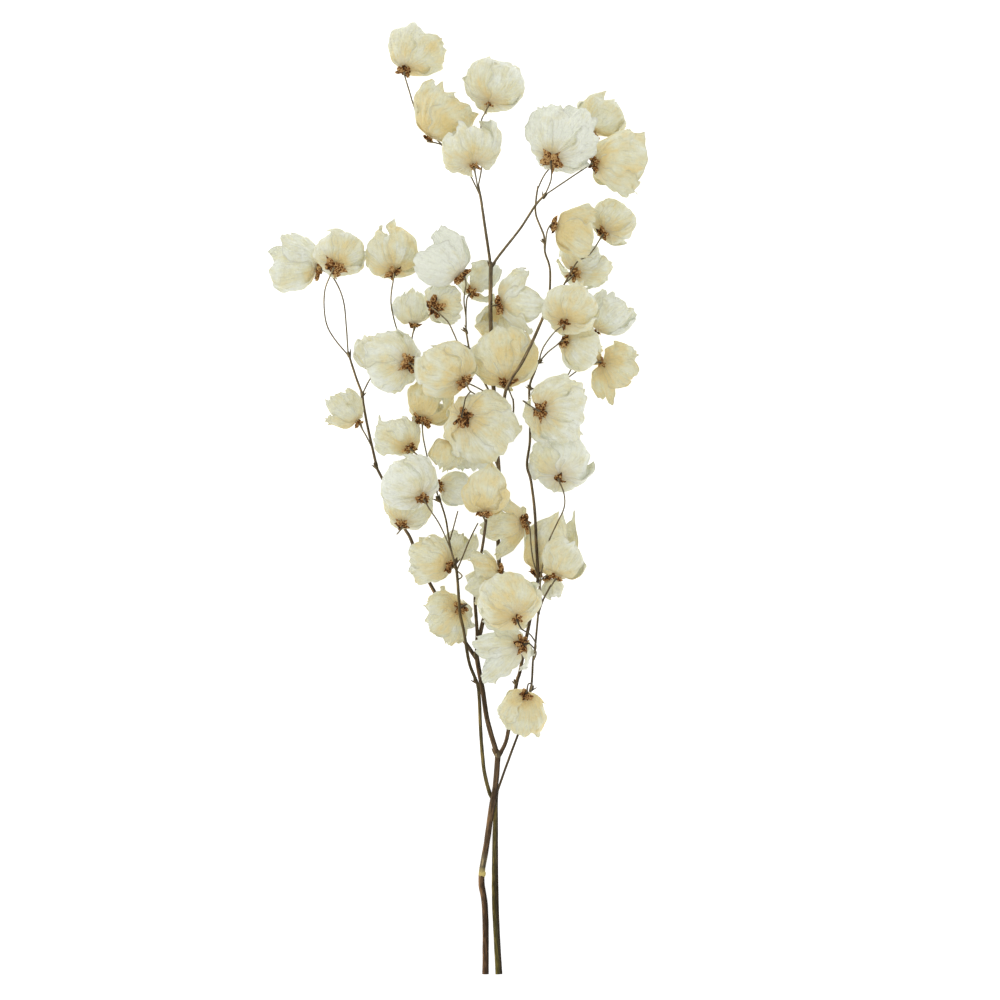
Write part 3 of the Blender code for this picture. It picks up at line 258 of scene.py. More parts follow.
# A pedicel's route from its limb towards its head, as pixels and height in millimetres
STEM_A_PEDICELS = {
    "head_01": ((452, 153, 25), (432, 134, 9), (416, 110, 9), (409, 90, 16)),
    "head_02": ((478, 188, 41), (482, 162, 25), (481, 124, 27), (485, 113, 33)),
    "head_03": ((481, 198, 38), (466, 168, 25), (448, 151, 25), (440, 144, 29)),
    "head_04": ((478, 190, 41), (476, 178, 54)),
    "head_05": ((544, 197, 38), (551, 180, 52)),
    "head_06": ((538, 188, 27), (547, 171, 21), (566, 154, 13), (581, 144, 10)),
    "head_07": ((544, 196, 38), (566, 181, 37), (584, 169, 37)),
    "head_08": ((545, 251, 30), (547, 232, 38)),
    "head_09": ((572, 270, 31), (578, 261, 32), (590, 254, 32)),
    "head_10": ((565, 283, 30), (570, 279, 30)),
    "head_11": ((539, 361, 22), (543, 348, 28), (553, 334, 50)),
    "head_12": ((566, 379, 18), (575, 362, 10), (587, 343, 9)),
    "head_13": ((539, 362, 22), (548, 352, 26), (557, 345, 32)),
    "head_14": ((566, 379, 18), (580, 369, 21), (592, 364, 24)),
    "head_15": ((530, 404, 20), (523, 401, 38), (530, 406, 60)),
    "head_17": ((538, 580, 23),),
    "head_19": ((485.6, 523, 46),),
    "head_20": ((538, 576, 24), (533, 560, 27), (531, 545, 30), (530, 530, 34)),
    "head_24": ((499, 580, 9), (507, 580, 22), (510, 576, 38)),
    "head_28": ((348, 357, 13), (346, 327, 14), (343, 300, 15), (334, 279, 18)),
    "head_29": ((349, 356, 13), (336, 341, 14), (327, 326, 17), (324, 308, 22), (325, 290, 32),
                (330, 277, 41)),
    "head_30": ((412, 352, 12), (399, 335, 12), (391, 303, 26)),
    "head_31": ((466, 333, 22), (466, 318, 26), (464, 300, 38), (466, 285, 54)),
    "head_32": ((447, 378, 23), (426, 366, 14), (412, 352, 12), (412, 337, 15)),
    "head_33": ((471.5, 349, 18.6), (466, 346, 20), (458, 342, 25), (454, 334, 36), (447, 321, 44)),
    "head_34": ((466, 333, 22), (466, 311, 20), (467, 298, 22)),
    "head_35": ((490.7, 306, 27),),
    "head_36": ((491.5, 352, 20), (495, 345, 8)),
    "head_37": ((513, 400, 40),),
    "head_38": ((493, 401, 14), (483, 398, 20), (473, 393, 36), (469, 390, 54)),
    "head_40": ((471, 391.5, 45), (466, 398, 61), (464, 407, 69)),
    "head_41": ((497, 452, 15), (482, 445, 26), (466, 436, 29), (457, 433, 30)),
    "head_42": ((498.4, 470, 10.4), (489, 446, 8), (478, 433, 9)),
    "head_45": ((403, 527, 8), (397, 534, 22), (399, 532, 36)),
    "head_47": ((362, 394, 11), (369, 380, 14)),
    "head_48": ((494, 397, 14), (470, 384, 20), (447, 378, 23), (430, 372, 34), (420, 368, 48)),
    "head_49": ((371, 446, 10), (366, 436, 12), (362, 429, 16)),
}
STEM_B_PEDICELS = {
    "head_21": ((455, 565, 36), (453, 568, 40)),
    "head_22": ((457, 580, 36), (462, 576, 20), (455, 569, 8)),
    "head_23": ((460, 606, 36), (467, 604, 32)),
    "head_39": ((441, 503, 31), (433, 482, 26), (427, 456, 26), (423, 436, 30)),
    "head_43": ((429, 464, 26), (420, 457, 30)),
    "head_44": ((456, 566, 36), (450, 548, 41), (440, 525, 46), (429, 508, 56)),
    "head_46": ((440, 501, 31), (437, 492, 27)),
}
STEM_C_PEDICELS = {
    "head_16": ((538.4, 613, 24), (539.4, 585, 31), (547, 547, 35), (556, 525, 34), (564, 508, 32),
                (564, 494, 34)),
    "head_18": ((551, 586, 43),),
    "head_25": ((533, 657, 21), (536, 645, 38), (530, 634, 58), (521, 628, 68)),
    "head_26": ((533, 662, 21), (536, 652, 36), (529, 643, 46)),
    "head_27": ((531, 691, 18), (532, 684, 34), (528, 684, 48)),
    "head_50": ((542, 602, 30), (540.5, 590, 35), (541, 580, 34)),
}

# The tint of a stem's mesh: 0 to 1 from its low bark colour to its high one, then a stalk's, then a collar's
BARK_TINT = 1.0
STALK_TINT = 2.0
COLLAR_TINT = 3.0
COLLAR_FADE = 16 * MM

# A bud or small bract: its foot as pixels and height, the pixels it points by, length, width and tint
Bud = namedtuple("Bud", "foot towards length width tint", defaults=(BARK_TINT,))
STEM_A_BUDS = (
    Bud((482, 876, 2.9), (2, -8), 7, 5.2, COLLAR_TINT),
    Bud((498, 756, 12.8), (0, -8), 7, 5.0),
    Bud((476, 656, 18), (-1, -8), 6, 4.2),
    Bud((497, 452, 15), (0, -8), 8, 5.0),
    Bud((491, 266, 29), (1, -6), 5, 3.8),
    Bud((549, 303, 31), (1, -6), 5, 3.2),
    Bud((544, 197, 38), (2, -7), 5, 2.6),
    Bud((376, 467, 9), (-4, -7), 6, 3.0),
    Bud((362, 395, 11), (2, -8), 5, 2.8),
    Bud((349, 355, 13), (-3, -8), 6, 2.6),
    Bud((516, 684, 18), (-3, -7), 6, 2.8),
    Bud((539, 362, 22), (5, -3), 5, 2.6),
    Bud((466, 331, 22), (-4, -5), 6, 2.4),
    Bud((474.5, 363, 16.6), (4, 5), 6, 3.0),
    Bud((544, 242, 30), (-4, -6), 5, 2.4),
    Bud((530, 388, 20), (-4, -6), 5, 2.6),
)
STEM_B_BUDS = (
    Bud((439, 500, 31), (-4, -5), 6, 3.6),
    Bud((455, 563, 36), (3, -8), 7, 3.2),
    Bud((476, 682, 23.6), (-5, -7), 5, 2.8),
)
STEM_C_BUDS = (
    Bud((531, 690, 18), (4, -6), 6, 2.8),
    Bud((538.4, 612, 24), (-3, -7), 5, 2.4),
)

# Each stem: its limbs, pedicels, buds, its slot in the record, and its lower and upper bark colours
Stem = namedtuple("Stem", "limbs pedicels buds slot low high")
STEMS = {
    "stem_a": Stem(STEM_A_LIMBS, STEM_A_PEDICELS, STEM_A_BUDS, "stem_brown",
                   (0.074, 0.042, 0.023, 1.0), (0.155, 0.124, 0.076, 1.0)),
    "stem_b": Stem(STEM_B_LIMBS, STEM_B_PEDICELS, STEM_B_BUDS, "stem_olive",
                   (0.094, 0.080, 0.022, 1.0), (0.112, 0.084, 0.046, 1.0)),
    "stem_c": Stem(STEM_C_LIMBS, STEM_C_PEDICELS, STEM_C_BUDS, "stem_dark",
                   (0.050, 0.036, 0.020, 1.0), (0.125, 0.098, 0.060, 1.0)),
}

# Shades of a bark, as shares of its colour: patches, pale and dark streaks, painted shade down one side,
# painted highlight down the other
PATCH_SHADE = (0.55, 0.52, 0.50, 1.0)
PALE_SHADE = (2.5, 2.35, 2.05, 1.0)
DARK_SHADE = (0.36, 0.33, 0.30, 1.0)
PAINTED_SHADE_SIDE = (0.30, 0.27, 0.26, 1.0)
PAINTED_HIGHLIGHT_SIDE = (2.0, 1.95, 1.75, 1.0)

# Limbs, stalks, buds and the scales at a bud's foot: sides round each, and a limb's relief by its radius
LIMB_SIDES = 14
STALK_SIDES = 8
BUD_SIDES = 10
SCALE_SIDES = 6
SCALE_STEP = 0.8 * MM
STALK_FLARE = 1.05 * MM
BROAD_RIDGE = 0.07
NARROW_RIDGE = 0.03
BARK_DEPTH = 0.09

# The group of lengthwise streaks: the length that one unit of it takes on a tube, and how much the veins of
# a bract shift with its place, so that no two heads have the same
STREAKS = "lengthwise_streaks"
UV_STEP = 10 * MM
HEAD_SHIFT = (6.0, 6.0, 6.0)

# Calyces: sepals in two whorls and a few dried flowers, with least and greatest sizes in millimetres
SEPAL_WHORLS = 2
SEPALS_IN_WHORL = 5
SEPAL_SIDES = 6
SEPAL_STEP = 0.9 * MM
SEPAL_REACHES = (2.6, 8.2)
SHORTER_INSIDE = 2.0
SEPAL_WIDTHS = (0.9, 1.9)
FLORETS = 4
FLORET_SIDES = 10
FLORET_REACHES = (3.5, 7.5)
FLORET_RADII = (0.6, 1.05)

# The size of a calyx follows its head's width, within limits, unless the head shows a larger or smaller one
USUAL_WIDTH = 46
CALYX_LIMITS = (0.75, 1.2)
CALYX_SIZES = {
    "head_02": 0.5, "head_03": 0.7, "head_04": 0.7, "head_05": 1.55, "head_11": 0.8, "head_12": 0.65,
    "head_14": 0.65, "head_16": 0.75, "head_18": 0.75, "head_25": 0.7, "head_28": 1.3, "head_29": 1.4,
    "head_33": 1.35, "head_38": 1.25, "head_39": 1.3, "head_40": 1.3, "head_48": 1.35,
}

# How much wider the lower half of a fine bract is than the source's, so that no slit opens beside a calyx
CLOSING = 0.13

# Painted glow: how brightly a bract shines with its own colour, as a share of it, in place of light coming
# through the thin paper
GLOW = 0.17

# Stretches of a bract's length, as shares: its foot, where it comes loose, its free half, tip and side lobe
FOOT = 0.09
LOOSE = (0.08, 0.55)
FREE_HALF = (0.45, 0.95)
TIP = (0.60, 1.0)
LOBE = (0.0, 0.5)

# A bract's details, as shares of its spread, half width or length, and what smaller folds add to larger ones
SIDE_WANDER = 0.34
LOBE_DEPTH = 0.08
HORN_RISE = 0.30
TIP_RISE = 0.095
CURL_FALL = 0.25
GROOVE_WIDTH = 0.16
SMALL_SHARE = 0.45
FINE_SHARE = 0.4

# Noise over a bract: its steps across and along it, and its shift from the bract's own seed
Pattern = namedtuple("Pattern", "across along shift")
WAVES = Pattern(1.4, 1.7, 0)
CRINKLES = Pattern(5.0, 4.0, 30)
FINE_CRINKLES = Pattern(11.0, 2.5, 60)
RIDGES = Pattern(2.6, 1.1, 90)
SMALL_RIDGES = Pattern(5.5, 3.2, 150)
SIDES = Pattern(3.0, 5.5, 0)

# The margin of a bract: points of drawn depths, and how many of them one lobe takes in
CUTS = 13
LOBE_WIDTH = 1.15

# One bract: its turn and half its spread in radians, and its stretch and opening as shares
Bract = namedtuple("Bract", "turn spread stretch opening")

# The trim of a fine bract, as shares of the half width or of the length
Trim = namedtuple("Trim", "seed crease cuts depth pleats beats phase horn curl warmth")

# A head's root, its unit axis from calyx to mouth, two unit vectors across it, its half width and its length
Pose = namedtuple("Pose", "root axis side other half length")


def half_share(name, description, default):
    """A setting of a bract's folds, measured against its head."""
    return FloatProperty(name=name, description=description + ", as a share of the head's half width",
                         default=default, subtype="FACTOR")


def colour_of(name, description, *colour):
    return FloatVectorProperty(name=name, description=description, default=(*colour, 1.0), size=4,
                               subtype="COLOR")


class BunchSettings(bpy.types.PropertyGroup):
    """Sizes and colours of the bunch that a user may change."""
    paper_thickness: FloatProperty(name="Paper thickness", description="Thickness of a dry bract",
                                   default=0.35 * MM, min=0.1 * MM, unit="LENGTH")
    pedicel_radius: FloatProperty(name="Pedicel radius", description="Radius of the thin stalk of a head",
                                  default=0.5 * MM, min=0.2 * MM, unit="LENGTH")
    ring_step: FloatProperty(name="Ring step", description="Distance between the rings of a stem",
                             default=2.5 * MM, min=1.0 * MM, unit="LENGTH")
    bract_columns: IntProperty(name="Bract columns", description="Faces across a bract", default=26, min=6)
    bract_rows: IntProperty(name="Bract rows", description="Faces along a bract", default=26, min=6)
    wave: half_share("Wave", "Depth of a bract's broad waves", 0.16)
    crinkle: half_share("Crinkle", "Depth of a bract's small creases", 0.085)
    pillow: half_share("Pillow", "How far a bract's sides tuck in", 0.02)
    fold: half_share("Fold", "Depth of a bract's sharp folds", 0.16)
    pleat: half_share("Pleat", "Depth of the lengthwise pleats", 0.010)
    ruffle: half_share("Ruffle", "Depth of the waves along a bract's sides", 0.09)
    white: colour_of("White", "Colour of the palest bracts", 0.755, 0.77, 0.675)
    cream: colour_of("Cream", "Colour of most bracts", 0.71, 0.69, 0.49)
    straw: colour_of("Straw", "Colour of the warmest bracts", 0.72, 0.61, 0.30)
    amber: colour_of("Amber", "Colour of the stains near a calyx", 0.56, 0.35, 0.11)
    margin: colour_of("Margin", "Colour of a bract's thin dry edge", 0.43, 0.42, 0.33)
    pedicel: colour_of("Pedicel", "Colour of the thin stalks", 0.150, 0.125, 0.080)
    collar: colour_of("Collar", "Colour of the pale scar at a low node", 0.60, 0.48, 0.17)
    sepal_dark: colour_of("Dark sepal", "Darkest colour of a calyx", 0.032, 0.014, 0.004)
    sepal_rust: colour_of("Rust sepal", "Main colour of a calyx", 0.230, 0.085, 0.018)
    sepal_tan: colour_of("Tan sepal", "Colour of a calyx's dry tips", 0.60, 0.385, 0.155)
    floor: colour_of("Floor", "Colour of the pale floor", 0.82, 0.82, 0.82)


def share_between(low, high, value):
    return min(max((value - low) / (high - low), 0.0), 1.0)


def smoothstep(low, high, value):
    share = share_between(low, high, value)
    return share * share * (3 - 2 * share)


def hill(low, high, value):
    """A smooth rise from 0 at low to 1 half way and back to 0 at high."""
    return math.sin(math.pi * share_between(low, high, value)) ** 2


def spot(column, row, height):
    """A pixel of the reference view and a height in millimetres, as a place in metres."""
    return Vector(((column - MIDDLE_COLUMN) * PIXEL, (MIDDLE_ROW - row) * PIXEL, height * MM))


def curve_at(values, span, part):
    """A smooth curve through the values, read in one of the spans between them."""
    before, after = values[max(span - 1, 0)], values[min(span + 2, len(values) - 1)]
    first, second = values[span], values[span + 1]
    square, cube = part * part, part * part * part
    return ((2 * cube - 3 * square + 1) * first + (cube - 2 * square + part) * (second - before) / 2
            + (3 * square - 2 * cube) * second + (cube - square) * (after - first) / 2)


def through(values, share):
    """A smooth curve through evenly spaced values, read at a share of its length."""
    spans = len(values) - 1
    span = min(int(share * spans), spans - 1)
    return curve_at(values, span, share * spans - span)


def pose_of(head):
    """Where the head is and how it lies: the view shows how long it looks, and so how steep it stands."""
    half = head.width * PIXEL / 2
    length = head.width * PIXEL * head.form.length * head.long
    flat = spot(*head.middle, 0) - spot(*head.calyx, 0)
    across_view = min(max(flat.length / (length / 2), 0.5), 0.97)
    rise = -head.side * math.sqrt(1 - across_view * across_view)
    axis = flat.normalized() * across_view
    axis.z = rise
    root = spot(*head.calyx, head.height) - Vector((0, 0, rise * length / 2 * head.flat))
    side = axis.cross(Vector((0, 0, 1))).normalized()
    return Pose(root, axis, side, side.cross(axis), half, length)


def set_in_head(head, pose, out, turn, along):
    """A point given by distance from the head's axis, turn and distance along it, dried a little flat."""
    offset = pose.axis * along + (pose.side * math.cos(turn) + pose.other * math.sin(turn)) * out
    offset.z *= head.flat
    place = pose.root + offset
    place.z = max(place.z, FLOOR_CLEARANCE)
    return place


def bracts_of(head):
    """Each bract of a head, as listed or by the rule."""
    if not isinstance(head.bracts, Ruled):
        return [Bract(math.radians(turn), math.radians(spread), stretch, opening)
                for turn, spread, stretch, opening in sorted(head.bracts)]
    draw = random.Random(head.name + " bracts")
    half_turn = math.pi / head.bracts.number
    made = []
    for number in range(head.bracts.number):
        shift = draw.uniform(*SHIFTS) * half_turn
        spread = draw.uniform(*BREADTHS) * half_turn
        turn = math.radians(head.bracts.turn) + 2 * half_turn * number + shift
        made.append(Bract(turn, spread, draw.uniform(*STRETCHES), draw.uniform(*OPENINGS)))
    return made


def trim_of(draw):
    return Trim(
        seed=draw.uniform(0, 100),
        crease=draw.uniform(0.0, 0.08),
        cuts=[draw.uniform(0, 1) ** 1.6 for _ in range(CUTS)],
        depth=draw.uniform(0.18, 0.46),
        pleats=draw.uniform(5.0, 10.0),
        beats=draw.uniform(4.0, 8.0),
        phase=draw.uniform(0, 6.28),
        horn=draw.uniform(-1, 1),
        curl=draw.uniform(-0.12, 0.16),
        warmth=draw.uniform(-0.14, 0.14),
    )


def cut_at(trim, across):
    """How deep the margin is cut: a soft line past points of drawn depths, so it has lobes and no teeth."""
    place = (across + 1) / 2 * (CUTS - 1)
    nearness = [math.exp(-((place - point) / LOBE_WIDTH) ** 2) for point in range(CUTS)]
    return trim.depth * sum(near * cut for near, cut in zip(nearness, trim.cuts)) / sum(nearness)


def bract_place(head, pose, bract, trim, settings, across, along):
    """A point of a fine bract: across runs from -1 to 1 and along from the calyx 0 to the tip 1."""
    form = head.form
    side = abs(across)
    loose = smoothstep(*LOOSE, along)
    tip = smoothstep(*TIP, along)

    def noise_of(pattern, sideways=across):
        place = (sideways * pattern.across, along * pattern.along, trim.seed + pattern.shift)
        return noise.noise(Vector(place))

    wave = noise_of(WAVES)
    spread = bract.spread * through(form.width, along) * (1 + CLOSING * (1 - smoothstep(*FREE_HALF, along)))
    wander = SIDE_WANDER * noise_of(SIDES, math.copysign(1.0, across))
    turn = bract.turn + across * spread * (1 + wander * side ** 3)

    lap = across * LAP_SHARE * min(1.0, LAP_GROWTH * along)
    tuck = settings.pillow * (side * side - 0.25) * loose
    groove = trim.crease * math.exp(-(across / GROOVE_WIDTH) ** 2) * loose
    ruffle = settings.ruffle * side ** 3 * math.sin(trim.beats * along + trim.phase + across) * loose
    pleat = math.cos(trim.pleats * across + 2.5 * wave + trim.phase) * (1 - 0.6 * side)
    ridge = 0.3 - abs(noise_of(RIDGES))
    small = 0.2 - abs(noise_of(SMALL_RIDGES))
    crinkle = noise_of(CRINKLES) + FINE_SHARE * noise_of(FINE_CRINKLES)
    rough = (settings.wave * wave + settings.crinkle * crinkle) * loose
    rough += (settings.fold * (ridge + SMALL_SHARE * small) + settings.pleat * pleat) * loose
    out = (through(form.radius, along) + bract.opening * along ** 3) * math.sqrt(min(along / FOOT, 1.0))
    out = out + lap - tuck - groove + ruffle + rough
    out += trim.curl * tip * tip

    corner = HORN_RISE * abs(trim.horn) * max(across * math.copysign(1.0, trim.horn), 0.0) ** 4
    droop = form.tip * across * across * along ** 3
    lobe = LOBE_DEPTH * side ** 1.5 * hill(*LOBE, along)
    up = through(form.axial, along) * bract.stretch - droop - lobe
    up += (corner - cut_at(trim, across) + TIP_RISE - CURL_FALL * abs(trim.curl)) * tip
    return set_in_head(head, pose, pose.half * max(out, 0.02), turn, pose.length * up)


def finished(bm, name, look, slot=None, replaced=None):
    """The mesh as a smooth shaded object at the origin, with sharp open edges, and its place in the part."""
    for edge in bm.edges:
        edge.smooth = not edge.is_boundary
    for face in bm.faces:
        face.smooth = True
    mesh = bpy.data.meshes.new(name)
    bm.to_mesh(mesh)
    bm.free()
    mesh.materials.append(look)
    piece = bpy.data.objects.new(name, mesh)
    bpy.context.scene.collection.objects.link(piece)
    if slot:
        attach(piece, "root")
    if replaced:
        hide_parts(replaced)
    return piece


def make_head(head, settings, look):
    """One papery head: a fine grid for each bract, bent round the head's axis, and as thick as paper."""
    draw = random.Random(head.name)
    pose = pose_of(head)
    bm = bmesh.new()
    bm.loops.layers.uv.new("bract")
    warmth = bm.verts.layers.float.new("warmth")
    for bract in bracts_of(head):
        trim = trim_of(draw)
        made = bmesh.ops.create_grid(bm, x_segments=settings.bract_columns, y_segments=settings.bract_rows,
                                     size=1.0, calc_uvs=True)
        for vert in made["verts"]:
            across, along = vert.co.x, (vert.co.y + 1) / 2
            vert.co = bract_place(head, pose, bract, trim, settings, across, along)
            vert[warmth] = head.warmth + trim.warmth
    piece = finished(bm, head.name + "_bracts", look, "bract", head.name)
    wall = piece.modifiers.new("paper", "SOLIDIFY")
    wall.thickness = settings.paper_thickness
    wall.offset = 0.0


def smooth_route(points, step):
    """Places along a smooth curve through the given ones, about a step apart."""
    steps = [points[0]]
    for span in range(len(points) - 1):
        pieces = max(1, round((points[span + 1] - points[span]).length / step))
        steps += [curve_at(points, span, piece / pieces) for piece in range(1, pieces + 1)]
    return steps


def guides_along(route):
    """Two unit vectors across the route at each of its places, turned as little as possible."""
    guide = Vector((0, 0, 1))
    pairs = []
    for index in range(len(route)):
        ahead = (route[min(index + 1, len(route) - 1)] - route[max(index - 1, 0)]).normalized()
        guide = (guide - ahead * guide.dot(ahead)).normalized()
        pairs.append((guide.copy(), ahead.cross(guide)))
    return pairs


def add_tube(bm, route, sides, radius_at, tint_at, flat=1.0):
    """A closed tube along a route, as a wrapped grid. Its radius and tint follow the share of the way."""
    uv = bm.loops.layers.uv.verify()
    tint = bm.verts.layers.float.get("tint") or bm.verts.layers.float.new("tint")
    pairs = guides_along(route)
    last = len(route) - 1
    rows = last + 2
    length = sum((second - first).length for first, second in zip(route, route[1:]))
    made = bmesh.ops.create_grid(bm, x_segments=sides, y_segments=rows, size=1.0, calc_uvs=True)
    verts = made["verts"]
    for face in {face for vert in verts for face in vert.link_faces}:
        for loop in face.loops:
            loop[uv].uv.y *= length / UV_STEP
    for vert in verts:
        turn = math.pi * (vert.co.x + 1)
        row = round((vert.co.y + 1) / 2 * rows)
        index = min(max(row - 1, 0), last)
        share = index / last
        radius = 0.0 if row in (0, rows) else radius_at(turn, share)
        guide, beside = pairs[index]
        flattened = guide * (math.cos(turn) * radius * flat)
        vert.co = route[index] + flattened + beside * (math.sin(turn) * radius)
        vert[tint] = tint_at(share)
    bmesh.ops.remove_doubles(bm, verts=verts, dist=1e-6)


def add_limb(bm, limb, settings, seed, low, high, collars):
    """A ridged limb that tapers from its first radius to its last, its tint going from low to high."""
    route = smooth_route([spot(*stop) for stop in limb.route], settings.ring_step)

    def radius_at(turn, share):
        taper = (limb.first + (limb.last - limb.first) * share) * MM
        twist = 0.8 * math.sin(9 * share + seed)
        ridge = BROAD_RIDGE * math.cos(3 * turn + twist) + NARROW_RIDGE * math.cos(7 * turn + seed)
        bark = noise.noise(Vector((math.cos(turn) * 2, math.sin(turn) * 2, share * len(route) / 3 + seed)))
        return taper * (1 + ridge + BARK_DEPTH * bark)

    def tint_at(share):
        place = route[round(share * (len(route) - 1))]
        tint = low + (high - low) * share
        for collar in collars:
            above = place.y - collar.y
            if above >= 0 and (place - collar).length < COLLAR_FADE:
                tint += (COLLAR_TINT - tint) * (1 - above / COLLAR_FADE)
        return tint

    add_tube(bm, route, LIMB_SIDES, radius_at, tint_at)


def add_pedicel(bm, head, stops, settings):
    """A thin stalk from its limb to the head's calyx, a little thicker where it enters it."""
    pose = pose_of(head)
    neck = pose.axis.copy()
    neck.z *= head.flat
    route = [spot(*stop) for stop in stops]
    route += [pose.root - neck * NECK, pose.root - neck * CALYX_DEPTH / 2]
    for place in route:
        place.z = max(place.z, settings.pedicel_radius + FLOOR_CLEARANCE)
    steps = smooth_route(route, settings.ring_step)
    length = len(steps)

    def radius_at(turn, share):
        flare = smoothstep(1 - 3.0 / length, 1.0, share)
        knot = 0.12 * noise.noise(Vector((turn / 3, share * length / 2, head.width)))
        return (settings.pedicel_radius * (1 + knot)) * (1 - flare) + STALK_FLARE * flare

    add_tube(bm, steps, STALK_SIDES, radius_at, lambda share: STALK_TINT)


def add_bud(bm, bud, seed):
    """A pointed bud with two small scales at its foot, or a bare collar."""
    draw = random.Random(seed)
    foot = spot(*bud.foot)
    ahead = Vector((bud.towards[0], -bud.towards[1], 0)).normalized()
    length = bud.length * MM
    width = bud.width * MM / 2
    swell = [foot + ahead * length * (share - 0.4) for share in (0.0, 0.12, 0.26, 0.4, 0.55, 0.7, 0.85, 1.0)]
    add_tube(bm, swell, BUD_SIDES,
             lambda turn, share: width * math.sin(math.pi * min(max(share, 0.04), 0.97)) ** 0.8,
             lambda share: bud.tint)
    if bud.tint == COLLAR_TINT:
        return
    side = ahead.cross(Vector((0, 0, 1)))
    for across in (-1, 1):
        lean = draw.uniform(0.5, 0.9)
        route = [foot + side * across * width * 0.5,
                 foot + side * across * width * (0.8 + lean * 0.4) + ahead * length * 0.3,
                 foot + side * across * width * (0.9 + lean) + ahead * length * draw.uniform(0.5, 0.75)]
        add_tube(bm, smooth_route(route, SCALE_STEP), SCALE_SIDES,
                 lambda turn, share: width * 0.5 * (1 - share) ** 0.7 + 0.05 * MM,
                 lambda share: BARK_TINT, flat=0.5)


def make_stem(name, stem, settings):
    """The bark of one cut stem: limbs, pedicels and buds as one piece."""
    bm = bmesh.new()
    bm.loops.layers.uv.new("bark")
    rows = [stop[1] for limb in stem.limbs for stop in limb.route]
    lowest, highest = max(rows), min(rows)
    collars = [spot(*bud.foot) for bud in stem.buds if bud.tint == COLLAR_TINT]
    for index, limb in enumerate(stem.limbs):
        low, high = [(lowest - limb.route[end][1]) / (lowest - highest) for end in (0, -1)]
        add_limb(bm, limb, settings, index * 1.7, low, high, collars)
    for head_name, stops in stem.pedicels.items():
        add_pedicel(bm, HEADS[head_name], stops, settings)
    for index, bud in enumerate(stem.buds):
        add_bud(bm, bud, f"{name} {index}")
    finished(bm, name + "_bark", bark_material(name, stem, settings), stem.slot, name)


def add_sepal(bm, head, pose, draw, turn, reach, width):
    """One pointed sepal that lies along the underside of the head, its tip curled."""
    lift = draw.uniform(-2.6, 0.9) * MM
    outs = (0.5 * MM, 0.40 * reach, 0.72 * reach, reach)
    ups = (-2.6 * MM, -1.7 * MM, -0.9 * MM, -0.5 * MM + lift)
    sway = draw.uniform(-0.25, 0.25)
    route = [set_in_head(head, pose, out, turn + sway * out / reach, up) for out, up in zip(outs, ups)]
    shade = draw.uniform(0.0, 1.0)
    add_tube(bm, smooth_route(route, SEPAL_STEP), SEPAL_SIDES,
             lambda around, share: width * (0.45 + 0.75 * hill(-0.2, 1.1, share)) * (1.03 - share ** 3),
             lambda share: shade + 0.6 * share ** 3, flat=0.35)


def add_floret(bm, head, pose, draw, turn, size):
    """The dried tube of a small flower, short and flared, beside the stalk."""
    reach = draw.uniform(*FLORET_REACHES) * MM * size
    outs = (0.3 * MM, 0.5 * reach, reach)
    ups = (-2.2 * MM, draw.uniform(-2.6, -1.6) * MM, draw.uniform(-2.8, -0.8) * MM)
    route = [set_in_head(head, pose, out, turn, up) for out, up in zip(outs, ups)]
    radius = draw.uniform(*FLORET_RADII) * MM * size
    shade = draw.uniform(0.0, 0.8)
    pinch = draw.uniform(0, 6)

    def radius_at(around, share):
        rough = noise.noise(Vector((math.cos(around) * 1.6, math.sin(around) * 1.6, 4 * share + 9 * pinch)))
        swell = 0.6 + 0.8 * hill(-0.1, 1.3, share)
        return radius * (swell + 0.24 * math.cos(3 * around + pinch) + 0.5 * rough)

    steps = smooth_route(route, SCALE_STEP)
    add_tube(bm, steps, FLORET_SIDES, radius_at, lambda share: shade + 0.8 * share ** 2)


def make_calyces(name, stem, look):
    """The brown ragged stars under the heads of one stem."""
    bm = bmesh.new()
    bm.loops.layers.uv.new("bark")
    smallest, largest = CALYX_LIMITS
    least, greatest = SEPAL_REACHES
    for head_name in stem.pedicels:
        head = HEADS[head_name]
        pose = pose_of(head)
        draw = random.Random(head_name + " calyx")
        size = CALYX_SIZES.get(head_name, min(max(head.width / USUAL_WIDTH, smallest), largest))
        for whorl in range(SEPAL_WHORLS):
            for step in range(SEPALS_IN_WHORL):
                turn = 2 * math.pi * (step + whorl / 2) / SEPALS_IN_WHORL + draw.uniform(-0.2, 0.2)
                reach = draw.uniform(least, greatest - SHORTER_INSIDE * whorl) * MM * size
                add_sepal(bm, head, pose, draw, turn, reach, draw.uniform(*SEPAL_WIDTHS) * MM * size)
        lead = draw.uniform(0, 2 * math.pi)
        for step in range(FLORETS):
            add_floret(bm, head, pose, draw, lead + 1.5 * step + draw.uniform(-0.4, 0.4), size)
    finished(bm, name + "_calyces", look, stem.slot)


